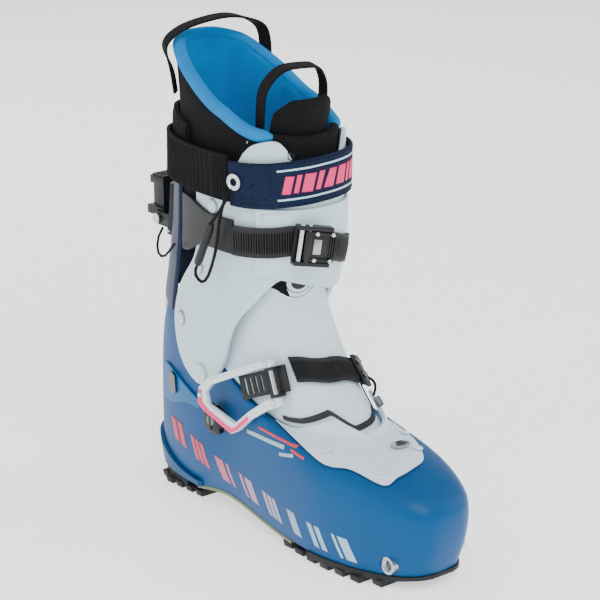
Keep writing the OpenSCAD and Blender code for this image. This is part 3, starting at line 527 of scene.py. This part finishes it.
def turned(name, m, radius, depth, material, bevel=0.3, at=(0, 0, 0), sides=48, top=None, axis="Z"):
    """A turned piece: a cylinder or cone primitive along local Z or X with its edges broken."""
    deselect()
    bpy.ops.mesh.primitive_cone_add(vertices=sides, radius1=radius * MM, radius2=(top or radius) * MM,
                                    depth=depth * MM)
    obj = bpy.context.object
    obj.name = name
    turn = Matrix.Rotation(pi / 2, 4, "Y") if axis == "X" else Matrix.Identity(4)
    stand = turn @ Matrix.Translation((0, 0, depth * MM / 2))
    place_mesh(obj, m @ Matrix.Translation(Vector(at) * MM) @ stand)
    paint(obj, material)
    return refine(obj, bevel, 0, 30, 50)


def join(objs, name):
    deselect()
    for o in objs:
        o.select_set(True)
    bpy.context.view_layer.objects.active = objs[0]
    if len(objs) > 1:
        bpy.ops.object.join()
    objs[0].name = name
    return objs[0]


# ---------- pieces carried over from the frame, rounded as the mould leaves them ----------
def carried(node, round_mm, levels, angle=38, smooth=180):
    """A copy of a frame piece that stands for it, its corners rounded, then subdivided levels times."""
    src = nodes[node]
    obj = bpy.data.objects.new(node + "_finished", src.data.copy())
    bpy.context.collection.objects.link(obj)
    pick(obj)
    bpy.ops.object.mode_set(mode="EDIT")
    bpy.ops.mesh.select_all(action="SELECT")
    bpy.ops.mesh.remove_doubles(threshold=0.00001)
    bpy.ops.mesh.tris_convert_to_quads(face_threshold=radians(60), shape_threshold=radians(120))
    bpy.ops.object.mode_set(mode="OBJECT")
    if round_mm:
        mod = obj.modifiers.new("round", "BEVEL")
        mod.width, mod.segments, mod.limit_method, mod.angle_limit = round_mm * MM, 2, "ANGLE", radians(angle)
        mod.use_clamp_overlap = True
        bpy.ops.object.modifier_apply(modifier="round")
    if levels:
        mod = obj.modifiers.new("fair", "SUBSURF")
        mod.levels = mod.render_levels = levels
        bpy.ops.object.modifier_apply(modifier="fair")
    bpy.ops.object.shade_smooth_by_angle(angle=radians(smooth))
    paint(obj, FINISH[node])
    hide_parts(node)
    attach(obj, body_of[node])
    return obj


lower_shell = carried("lower_shell", 0.9, 2)
for n, r, l in [("heel_cap", 0.8, 1), ("cuff_shell", 0.7, 2), ("cuff_flap", 0.9, 2),
                ("rear_spine", 0.7, 2), ("instep_plate", 0.9, 2), ("ankle_shields", 0.6, 2),
                ("strap_clamp", 0.8, 2), ("strap_bracket", 0.8, 2), ("gaiter_welt", 0.4, 1),
                ("outsole_front", 0.6, 0), ("outsole_heel", 0.6, 0), ("arch_insert", 0.5, 1),
                ("rear_loop", 0.4, 2), ("front_loop", 0.4, 2)]:
    carried(n, r, l)
for n in ["upper_buckle", "buckle_base", "lower_lever", "lever_grip", "lock_lever", "lock_bar",
          "lever_housing", "tension_knob", "heel_insert", "plate_badge", "spine_catch"]:
    carried(n, 0.45, 0, 30, smooth=35)


def finish_as(obj, node):
    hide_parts(node)
    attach(obj, body_of[node])
    return obj


# ---------- cord: out of the eyelet, through the toggle and back behind the strap ----------
ROUTE = [(-53, 20, 262), (-55, 22, 254), (-57, 26, 246), (-58, 31, 240), (-58, 34, 236), (-58, 38, 228),
         (-58, 43, 218), (-58, 48, 208), (-58, 52, 200), (-58, 54, 196), (-58, 54, 192), (-57, 52, 189),
         (-57, 48, 188), (-57, 44, 190), (-57, 40, 195), (-57, 36, 203), (-57, 32, 213), (-57, 29, 224),
         (-57, 27, 236), (-56, 25, 246), (-54, 24, 255), (-53, 24, 262)]
data = bpy.data.curves.new("pull_cord", "CURVE")
data.dimensions = "3D"
data.bevel_depth = 1.2 * MM
data.bevel_resolution = 4
data.use_fill_caps = True
line = data.splines.new("POLY")
line.points.add(len(ROUTE) - 1)
for pt, q in zip(line.points, ROUTE):
    pt.co = (*[c * MM for c in q], 1)
pull_cord = bpy.data.objects.new("pull_cord", data)
bpy.context.collection.objects.link(pull_cord)
data.materials.append(braid_black)
length = sum((Vector(ROUTE[i + 1]) - Vector(ROUTE[i])).length for i in range(len(ROUTE) - 1)) * MM
ends = [Vector((-58, 34.4, 235.4)), Vector((-58, 53.6, 196.8))]
run = ends[1] - ends[0]
spot = axes(ends[0], (1, 0, 0), run)
parts = [turned("toggle_body", spot, 2.9, 32, polyamide_black, 0.5, (0, 0, 3.5), 32, 3.2),
         turned("toggle_cap", spot, 2.0, 3.6, polyamide_black, 0.4, (0, 0, 0.2), 32, 2.9),
         turned("toggle_end", spot, 3.2, 3.6, polyamide_black, 0.6, (0, 0, 35.3), 32, 2.2)]
parts += [turned("toggle_ring", spot, 3.2, 1.1, polyamide_black, 0.2, (0, 0, 6 + 5 * k), 32) for k in range(6)]
toggle = join(parts, "toggle_finished")
finish_as(toggle, "cord_toggle")
finish_as(pull_cord, "strap_cord")


# ---------- straps ----------
def ribbed(pitch_a, height, base, border=0.17):
    """Outer face of a ladder strap: cross ribs moulded between plain borders."""
    def o(a, t):
        inside = ease(t, border - 0.05, border) * ease(1 - t, border - 0.05, border)
        saw = (a / pitch_a) % 1.0
        rib = ease(saw, 0.0, 0.25) * (1 - ease(saw, 0.6, 0.9))
        return base - height * (1 - rib) * inside
    return o


ladder = slab("ladder_strap_finished", cuff, 104, 206, 340, lambda a: curve(a, LADDER_MID) - 11,
              lambda a: curve(a, LADDER_MID) + 11, 14, STRAP_O, ribbed(2.0, 1.0, STRAP_O + 2.6), strap_black)
refine(ladder, 0, 0, smooth_at=35)
finish_as(ladder, "ladder_strap")
LOWER_HALF = 19 / 2 / 108
lower = slab("lower_strap_finished", instep, 134, 222, 320, lambda u: curve(u, STRAP_PATH) - LOWER_HALF,
             lambda u: curve(u, STRAP_PATH) + LOWER_HALF, 14, 1.4, ribbed(2.2, 1.0, 4.0), strap_black)
refine(lower, 0, 0, smooth_at=35)
finish_as(lower, "lower_strap")


def band_o(a, t):
    """Outer face of the power strap: a woven band with turned edges."""
    return STRAP_O + 2.0 - 0.45 * (1 - ease(t, 0.0, 0.06) * ease(1 - t, 0.0, 0.06))


band = slab("power_strap_finished", cuff, 103, 300, 160, lambda a: curve(a, STRAP_MID) - 16.5,
            lambda a: curve(a, STRAP_MID) + 16.5, 24, STRAP_O, band_o, webbing_navy)
refine(band, 0, 0, smooth_at=60)
finish_as(band, "power_strap")

prints = []
for side in (-1, 1):
    mid = 10.6 * side
    prints.append(slab("pinstripe", cuff, 141, 300, 120, lambda a: curve(a, STRAP_MID) + mid - 0.7,
                       lambda a: curve(a, STRAP_MID) + mid + 0.7, 1, STRAP_O + 1.9, STRAP_O + 2.12, print_sky))
stripes = join(prints, "strap_pinstripes")
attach(stripes, "cuff")


def slanted(c, z0, half, width, lean, o0, o1, material):
    """One slanted bar printed across the strap, c its middle in degrees and width in degrees."""
    def f(t, b, o):
        return cuff(c + (t - 0.5) * width - lean * (b - z0) / half, b, o)
    return slab("bar", f, 0, 1, 6, z0 - half, z0 + half, 6, o0, o1, material)


bars = []
a = 146.0
for k, w in enumerate([7, 4, 9, 4, 6, 9, 4, 7, 4, 9, 6, 4, 8, 4, 7, 9, 4, 6]):
    z0 = curve(a, STRAP_MID)
    bars.append(slanted(a + w / 2, z0, 6.6, w, -1.8, STRAP_O + 1.9, STRAP_O + 2.14, print_pink))
    a += w + 2.4
bar_print = join(bars, "strap_bars")
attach(bar_print, "cuff")


def stitches(name, pts, out, width=0.5, length=1.8, gap_=1.2, material=print_sky, body="cuff", lift=0.15):
    """Single stitches of a thread along a line of points; out(p) is the outward direction there."""
    verts, faces, carry = [], [], 0.0
    for p, q in zip(pts, pts[1:]):
        p, q = Vector(p), Vector(q)
        d = q - p
        total = d.length
        if total < 1e-6:
            continue
        d /= total
        s = -carry
        while s < total:
            if s + length * 0.6 <= total:
                n = Vector(out(p + d * s)).normalized()
                w = d.cross(n).normalized()
                e = [p + d * (s + length * k / 4) + n * (lift + 0.35 * sin(pi * k / 4)) for k in range(5)]
                b = len(verts)
                for r in e:
                    verts += [r - w * width / 2, r + n * width * 0.35, r + w * width / 2]
                for k in range(4):
                    i = b + 3 * k
                    faces += [[i, i + 1, i + 4, i + 3], [i + 1, i + 2, i + 5, i + 4], [i + 2, i, i + 3, i + 5]]
                faces += [[b, b + 2, b + 1], [b + 12, b + 13, b + 14]]
            s += length + gap_
        carry = total - s
    return new_mesh(name, verts, faces, material, body)


def cuff_line(points, o):
    out = []
    for (a0, z0), (a1, z1) in zip(points, points[1:]):
        for k in range(12):
            out.append(cuff(mix(a0, a1, k / 12), mix(z0, z1, k / 12), o))
    out.append(cuff(*points[-1], o))
    return out


def from_axis(p):
    return (p[0], p[1] - 40, 0)


top = STRAP_O + 2.0
box = [(112, 256), (112, 280), (136, 283), (136, 259), (112, 256), (136, 283)]
stitches("strap_box_stitch", cuff_line(box, top), from_axis, material=webbing_black)
for name, path in (("strap_edge_stitch", [(104, 282.6), (140, 284.6), (200, 287), (296, 285.4)]),
                   ("strap_edge_stitch_low", [(104, 252.6), (140, 254), (200, 256.8), (296, 254.6)])):
    stitches(name, cuff_line(path, top), from_axis, material=webbing_black)


def elastic_o(a, t):
    """Outer face of the elastic at the back: vertical ribs of covered rubber."""
    return STRAP_O + 2.4 - 0.9 * (0.5 + 0.5 * cos(a * 2 * pi / 2.6)) * ease(t, 0, 0.08) * ease(1 - t, 0, 0.08)


elastic = slab("strap_elastic_finished", cuff, -59, 102, 420, 252, 286, 12, STRAP_O, elastic_o, elastic_black)
refine(elastic, 0, 0, smooth_at=60)
finish_as(elastic, "strap_elastic")


def pad_o(a, t):
    """Outer face of the rear pad: quilted vertical channels on foam."""
    return 0.5 + 1.1 * abs(cos(a * pi / 7)) ** 0.5 * ease(t, 0, 0.15) * ease(1 - t, 0, 0.15) - 0.6


pad = slab("rear_pad_finished", cuff, -68, 68, 240, 263, lambda a: 304 - 6 * ease(abs(a), 30, 68), 18,
           -3.2, pad_o, padding_black)
refine(pad, 0, 0, smooth_at=70)
finish_as(pad, "rear_pad")


# ---------- gaiter: the cloth runs on up behind the cuff's flap ----------
def gaiter_at(u, w, o):
    if w <= 1:
        return instep(u, w, o)
    e = w - 1
    p = instep(u, 1, o)
    front = ease(u, 128, 152) * (1 - ease(u, 208, 232))
    bulge = sin(pi * clip(e, 0, 1)) * 1.2
    return p + Vector((0, -6.3 * e - bulge, 19.5 * e)) * front


rows = [k / 16 for k in range(17)] + [1 + k / 8 for k in range(1, 9)]
cols = [64 + 232 * k / 96 for k in range(97)]
pts = [gaiter_at(u, w, o) for o in (0.0, -1.6) for w in rows for u in cols]
cloth_cover = new_mesh("gaiter_finished", pts, sheet_faces(len(cols) - 1, len(rows) - 1), gaiter_white)
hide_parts("gaiter")
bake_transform(cloth_cover)


# ---------- liner: padded shaft and tongue, swollen by a cloth simulation ----------
def swell(obj, voxel, pressure, cap, frames=20):
    """Remeshes a closed soft solid and lets cloth pressure swell it, no point moving more than the cap."""
    pick(obj)
    obj.data.remesh_voxel_size = voxel * MM
    bpy.ops.object.voxel_remesh()
    start_at = [v.co.copy() for v in obj.data.vertices]
    mod = obj.modifiers.new("cloth", "CLOTH")
    mod.settings.use_pressure = True
    mod.settings.uniform_pressure_force = pressure
    mod.settings.quality = 5
    mod.settings.effector_weights.gravity = 0
    mod.point_cache.frame_start, mod.point_cache.frame_end = 1, frames
    for fr in range(1, frames + 1):
        bpy.context.scene.frame_set(fr)
    bpy.ops.object.modifier_apply(modifier="cloth")
    bpy.context.scene.frame_set(1)
    for v, p in zip(obj.data.vertices, start_at):
        d = v.co - p
        if d.length > cap * MM:
            v.co = p + d.normalized() * cap * MM
    mod = obj.modifiers.new("even", "SMOOTH")
    mod.iterations = 4
    bpy.ops.object.modifier_apply(modifier="even")
    mod = obj.modifiers.new("fair", "SUBSURF")
    mod.levels = 1
    bpy.ops.object.modifier_apply(modifier="fair")
    for f in obj.data.polygons:
        f.use_smooth = True
    return obj


def tube_solid(name, f, n, vs, o_out, o_in, material):
    """A closed padded ring from a formula, with rounded lips."""
    pts, fs = [], []
    loop = [(v, o_out) for v in vs] + [(1.008, mix(o_out, o_in, 0.5))] + [(v, o_in) for v in reversed(vs)]
    for v, o in loop:
        pts += [f(i * 360 / n, v, o) for i in range(n)]
    m = len(loop)
    for j in range(m):
        for i in range(n):
            here, there, k = j * n, (j + 1) % m * n, (i + 1) % n
            fs.append([here + i, here + k, there + k, there + i])
    return new_mesh(name, pts, fs, material)


shaft = tube_solid("liner_cuff_finished", liner, 72, [k / 18 for k in range(19)], -0.3, -7.2, padding_black)
swell(shaft, 3.6, 1.5, 1.6)
shaft.data.materials.append(knit_blue)
for f in shaft.data.polygons:
    c = f.center
    a = atan2(-c.x / 0.046, (c.y - 0.040) / (0.088 if c.y > 0.04 else 0.056)) * 180 / pi
    inward = f.normal.dot(Vector((c.x, c.y - 0.040, 0)).normalized()) < 0.25
    near_rim = c.z > rim_height(a) * MM - 0.002
    back_half = abs((a + 180) % 360 - 180) < 138
    f.material_index = 1 if (inward or near_rim) and back_half else 0
finish_as(shaft, "liner_cuff")


def tongue(a, z, o):
    p = cuff(a, min(z, 300), o - 12.7)
    p.z = z
    p.y -= 4.0 * ease(z, 296, 322)
    return p


def tongue_top(a):
    return 324 - 9 * ease(abs(a - 180), 20, 48)


flap = slab("liner_tongue_finished", tongue, 132, 228, 24, 214, tongue_top, 20, -5.4, -0.4, padding_black)
swell(flap, 3.2, 1.5, 1.5)
finish_as(flap, "liner_tongue")


# ---------- markings and small fittings ----------
shell_tree = BVHTree.FromPolygons([v.co.copy() for v in lower_shell.data.vertices],
                                  [list(f.vertices) for f in lower_shell.data.polygons])


def on_side(y, z, lift=0.16, side=-1):
    """The point of the lower shell's side at y, z, found by a ray from outside."""
    p, n, _, _ = shell_tree.ray_cast(Vector((side * 0.09, y * MM, z * MM)), Vector((-side, 0, 0)))
    return None if p is None else (p + n * (lift * MM) * (1 if n.x * side > 0 else -1)) / MM


def marking(name, corner, n, m, material, side=-1):
    """A printed patch: corner(s, t) gives y, z on the shell's side for s, t from 0 to 1."""
    pts = []
    for lift in (0.26, 0.08):
        for j in range(m + 1):
            for i in range(n + 1):
                y, z = corner(i / n, j / m)
                p = on_side(y, z, lift, side)
                if p is None:
                    return None
                pts.append(p)
    return new_mesh(name, pts, sheet_faces(n, m), material)


def ink_material():
    """Print ink that runs from red at the heel through rose to silver at the toe."""
    m, t, b = start("pad_print_fade", linear("b08a98"), 0.45)
    xyz = add(t, "ShaderNodeSeparateXYZ", [("Vector", place(t))])
    r = add(t, "ShaderNodeMapRange", [("Value", xyz.outputs["Y"])], From_Min=-0.115, From_Max=0.115)
    ramp = add(t, "ShaderNodeValToRGB", [("Fac", r.outputs["Result"])])
    e = ramp.color_ramp.elements
    e[0].position, e[0].color = 0.0, linear("9fc6dc")
    e[1].position, e[1].color = 1.0, linear("cc3444")
    for pos, code in ((0.3, "93aec6"), (0.55, "b08aa2"), (0.8, "c65060")):
        n = e.new(pos)
        n.color = linear(code)
    t.links.new(ramp.outputs["Color"], b.inputs["Base Color"])
    grain(t, b, 2000, 0.2, 0.00002, Detail=2.0)
    return m


print_fade = ink_material()
BAND_MID = [[-124, 22], [-115, 22], [-80, 23.5], [-30, 27.5], [10, 32], [48, 36], [78, 43], [112, 50]]
groups = [(106, 18, (0.42, 0.42)), (76, 17, (0.28, 0.28, 0.28)), (45, 17, (0.6, 0.22)), (14, 17, (0.22, 0.6)),
          (-17, 17, (0.28, 0.28, 0.28)), (-46, 12, (0.8,)), (-70, 13, (0.4, 0.4)), (-95, 14, (0.2, 0.62))]
for side in (-1, 1):
    inks = []
    for mid, width, shares in groups:
        y = mid + width / 2
        spare = (1 - sum(shares)) / max(1, len(shares) - 1) if len(shares) > 1 else 0
        for share in shares:
            w = width * share

            def corner(s, t, y=y, w=w):
                yy = y - s * w + (t - 0.5) * 7
                return yy, curve(yy, BAND_MID) + (t - 0.5) * 17
            piece = marking("ink", corner, 6, 10, print_fade, side)
            if piece:
                inks.append(piece)
            y -= w + width * spare
    if inks:
        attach(join(inks, "shell_print_%s" % ("outer" if side < 0 else "inner")), "shell")


def stroke(name, pts, width, material, side=-1):
    """A printed stripe of even width along points y, z on the shell's side."""
    def at_(s):
        k = min(int(s * (len(pts) - 1)), len(pts) - 2)
        f = s * (len(pts) - 1) - k
        p = Vector(pts[k]).lerp(Vector(pts[k + 1]), f)
        d = (Vector(pts[k + 1]) - Vector(pts[k])).normalized()
        return p, d

    def corner(s, t):
        p, d = at_(s)
        q = p + Vector((-d.y, d.x)) * (t - 0.5) * width
        return q.x, q.y
    return marking(name, corner, 8 * (len(pts) - 1), 3, material, side)


for side, tag in ((-1, "outer"), (1, "inner")):
    for label, pts, w, mat in (("silver_dash", [(14, 79), (-33, 81)], 3.2, print_silver),
                               ("silver_foot", [(-28, 74.5), (-44, 78)], 2.6, print_silver),
                               ("red_dash", [(-1, 86.5), (-45, 84.5)], 1.8, print_red),
                               ("red_foot", [(-40, 81.5), (-55, 79)], 1.8, print_red)):
        piece = stroke("%s_%s" % (label, tag), pts, w, mat, side)
        if piece:
            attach(piece, "shell")


def ring_tube(name, pts, radius, material, body, sides=12):
    """A round bar along a line of points, its radius a number or a function of the way along."""
    n = len(pts)
    verts, fs = [], []
    for k in range(n):
        p = Vector(pts[k])
        a, c = pts[max(k - 1, 0)], pts[min(k + 1, n - 1)]
        t = (Vector(c) - Vector(a)).normalized()
        ref = Vector((0, 0, 1)) if abs(t.z) < 0.85 else Vector((1, 0, 0))
        e = t.cross(ref).normalized()
        g = t.cross(e)
        r = radius(k / (n - 1)) if callable(radius) else radius
        verts += [p + (e * cos(2 * pi * i / sides) + g * sin(2 * pi * i / sides)) * r for i in range(sides)]
    for k in range(n - 1):
        for i in range(sides):
            j, here, there = (i + 1) % sides, k * sides, (k + 1) * sides
            fs.append([here + i, here + j, there + j, there + i])
    fs += [list(range(sides)), [(n - 1) * sides + i for i in range(sides)]]
    return new_mesh(name, verts, fs, material, body)


# Piping: the rolled edges of liner and tongue, a stuffed tube sewn round each
rim_path = [liner(a, 1.0, -3.0) - Vector((0, 0, 2.2)) for a in [-141 + 282 * k / 120 for k in range(121)]]
piping = ring_tube("liner_rim_piping", rim_path,
                   lambda s: 4.6 * ease(s, -0.02, 0.05) * ease(1 - s, -0.02, 0.05) + 0.3, knit_blue, "cuff", 16)
front_path = [tongue(a, tongue_top(a) - 0.5, -2.6) for a in [134 + 92 * k / 40 for k in range(41)]]
edge_roll = ring_tube("tongue_edge_roll", front_path,
                      lambda s: 2.2 * ease(s, -0.02, 0.06) * ease(1 - s, -0.02, 0.06) + 0.3,
                      knit_black, "cuff", 12)
for k, (a0, v0, a1, v1) in enumerate([(116, 0.93, 106, 0.70), (131, 0.93, 128, 0.70)]):
    pts = [liner(mix(a0, a1, j / 12), mix(v0, v1, j / 12), 1.2) for j in range(13)]
    stitches("liner_stitch_%d" % k, pts, from_axis, 0.7, 2.2, 1.2, print_sky)

# Rivet shadow rings: a fine grey ring round each flush rivet is painted shadow of the groove round it
for k, (a, z) in enumerate([(66, 146), (78, 192), (87, 243), (294, 146), (282, 192), (273, 243)]):
    m = axes(cuff(a, z, 0.35), (0, 0, 1), normal_of(cuff, a, z))
    deselect()
    bpy.ops.mesh.primitive_torus_add(major_radius=5.5 * MM, minor_radius=0.42 * MM,
                                     major_segments=48, minor_segments=8)
    ring = bpy.context.object
    ring.name = "cuff_rivet_painted_shadow_ring_%d" % k
    place_mesh(ring, m @ Matrix.Translation((0, 0, 0.0003)))
    # the grey of this ring is painted shade, standing in for the shadow in the groove round the rivet
    paint(ring, badge_metal)
    bpy.ops.object.shade_smooth()
    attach(ring, "cuff")

# Small slot outline on the cuff's tip and the raised border of the flap's panel
slot = [(151, 287), (151, 292), (156, 289.5), (156, 284.5), (151, 287)]
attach(ring_tube("cuff_tip_slot", cuff_line(slot, 0.15), 0.35, polyamide_black, None, 8), "cuff")
panel = cuff_line([(128, 205), (128, 246), (150, 248)], 2.75)
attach(ring_tube("flap_panel_edge", panel, 0.55, polyamide_white, None, 10), "cuff")

# ---------- upper buckle ----------
ub = axes(cuff(167, 225, STRAP_O + 2.6 + 0.3), (0.94, -0.34, -0.16), normal_of(cuff, 167, 225))
tail = [block("latch_plate", ub, (-11, -5, 3.4), (11, 10, 7.4), polyamide_black, 1.2),
        block("latch_tail", ub, (-11, 8.5, 2.6), (11, 15.8, 6.4), polyamide_black, 1.4),
        block("latch_rail_low", ub, (-11, -4, 5.4), (-8.2, 15, 8.5), polyamide_black, 0.9),
        block("latch_rail_high", ub, (8.2, -4, 5.4), (11, 15, 8.5), polyamide_black, 0.9),
        turned("latch_knuckle", ub, 3.1, 22, polyamide_black, 0.5, (-11, -5, 5.2), 40, axis="X")]
tail += [block("latch_rib", ub, (-7.6, 9.2 + 1.7 * k, 6.0), (7.6, 10.2 + 1.7 * k, 7.5), polyamide_black, 0.35)
         for k in range(4)]
latch = join(tail, "upper_latch_finished")
finish_as(latch, "upper_latch")
dots = [turned("dot", ub, 1.5, 0.8, steel, 0.25, (x, y, 8.3), 24) for y in (0, 12) for x in (-9.6, 9.6)]
dots.append(block("latch_insert", ub, (-5.5, -1.5, 7.0), (5.5, 4.5, 7.9), badge_metal, 0.4))
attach(join(dots, "latch_studs"), "latch")

# ---------- knob, lever and rear fittings ----------
kn = axes((-44.9, 48, 79), (0, 1, 0), (-1, 0, 0))
face = [turned("knob_rim", kn, 8.6, 0.9, polyamide_black, 0.3, (0, 0, 5.2), 48, 8.0),
        turned("knob_cap", kn, 4.6, 1.6, dark_steel, 0.4, (0, 0, 5.2), 40, 4.0),
        block("knob_bar", kn, (-7.2, -1.5, 5.3), (7.2, 1.5, 7.0), polyamide_black, 0.5)]
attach(join(face[:1] + face[2:], "knob_face"), "knob")
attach(face[1], "knob")
lv = axes((-39, -11.5, 124), (-19.5, 62, -26), (-0.96, -0.21, 0.13))
studs = [turned("lever_stud", lv, 2.3, 1.2, steel, 0.3, (x, y, 2.4), 32) for x, y in ((13.2, 2), (-16, 2))]
studs.append(turned("lever_end_stud", lv, 1.8, 1.0, steel, 0.3, (2, 66.6, 3.4), 32))
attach(join(studs, "lever_studs"), "lower_buckle_lever")
arm = []
for x0, y0, x1, y1 in ((13.1, 8, 11, 54), (-16.5, 8, -27, 40), (-25, 47, -8, 64), (2, 65.5, 9.5, 59)):
    p, q = Vector((x0, y0, 2.3)), Vector((x1, y1, 2.3))
    path = [(lv @ (p.lerp(q, k / 6) * MM)) / MM for k in range(7)]
    arm.append(ring_tube("lever_rib", path, 0.75, lever_white, None, 10))
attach(join(arm, "lever_ribs"), "lower_buckle_lever")
rl = axes((-8, 149, 208), (0, 1, 0), (0, 0, 1))
wing = [block("lever_wing_out", rl, (9.2, -1, 8), (11.0, 12, 27), polyamide_black, 0.7),
        block("lever_top_pad", rl, (-9, -2.4, 30.6), (9, 13, 32.4), polyamide_black, 0.8)]
wing += [block("lever_grip_rib", rl, (-8, 1 + 2.8 * k, 32.0), (8, 2.4 + 2.8 * k, 33.0), polyamide_black, 0.4)
         for k in range(4)]
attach(join(wing, "walk_lever_fittings"), "walk_lever")
stud = [turned("lever_side_stud", rl, 2.6, 1.2, steel, 0.3, (10.6, 5, 18), 32, axis="X")]
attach(join(stud, "walk_lever_stud"), "walk_lever")

# Badge: generic triangle of bars on the plate
lo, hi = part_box("plate_badge")
mid = (Vector(lo) + Vector(hi)) / 2 / MM
bm_axes = axes((mid.x, mid.y, hi[2] / MM - 0.1), (0, 1, 0.08), (0.05, -0.1, 1))
tri = [block("badge_bar", bm_axes, (-4.6 + k * 0.9, -2.2 + 1.9 * k, -0.1),
             (4.6 - k * 0.9, -1.2 + 1.9 * k, 0.35), polyamide_black, 0.12) for k in range(3)]
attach(join(tri, "badge_bars"), "shell")

# floor
deselect()
bpy.ops.mesh.primitive_plane_add(size=12, location=(0, 0, 0))
floor = bpy.context.object
floor.name = "studio_floor"
paint(floor, floor_paint)
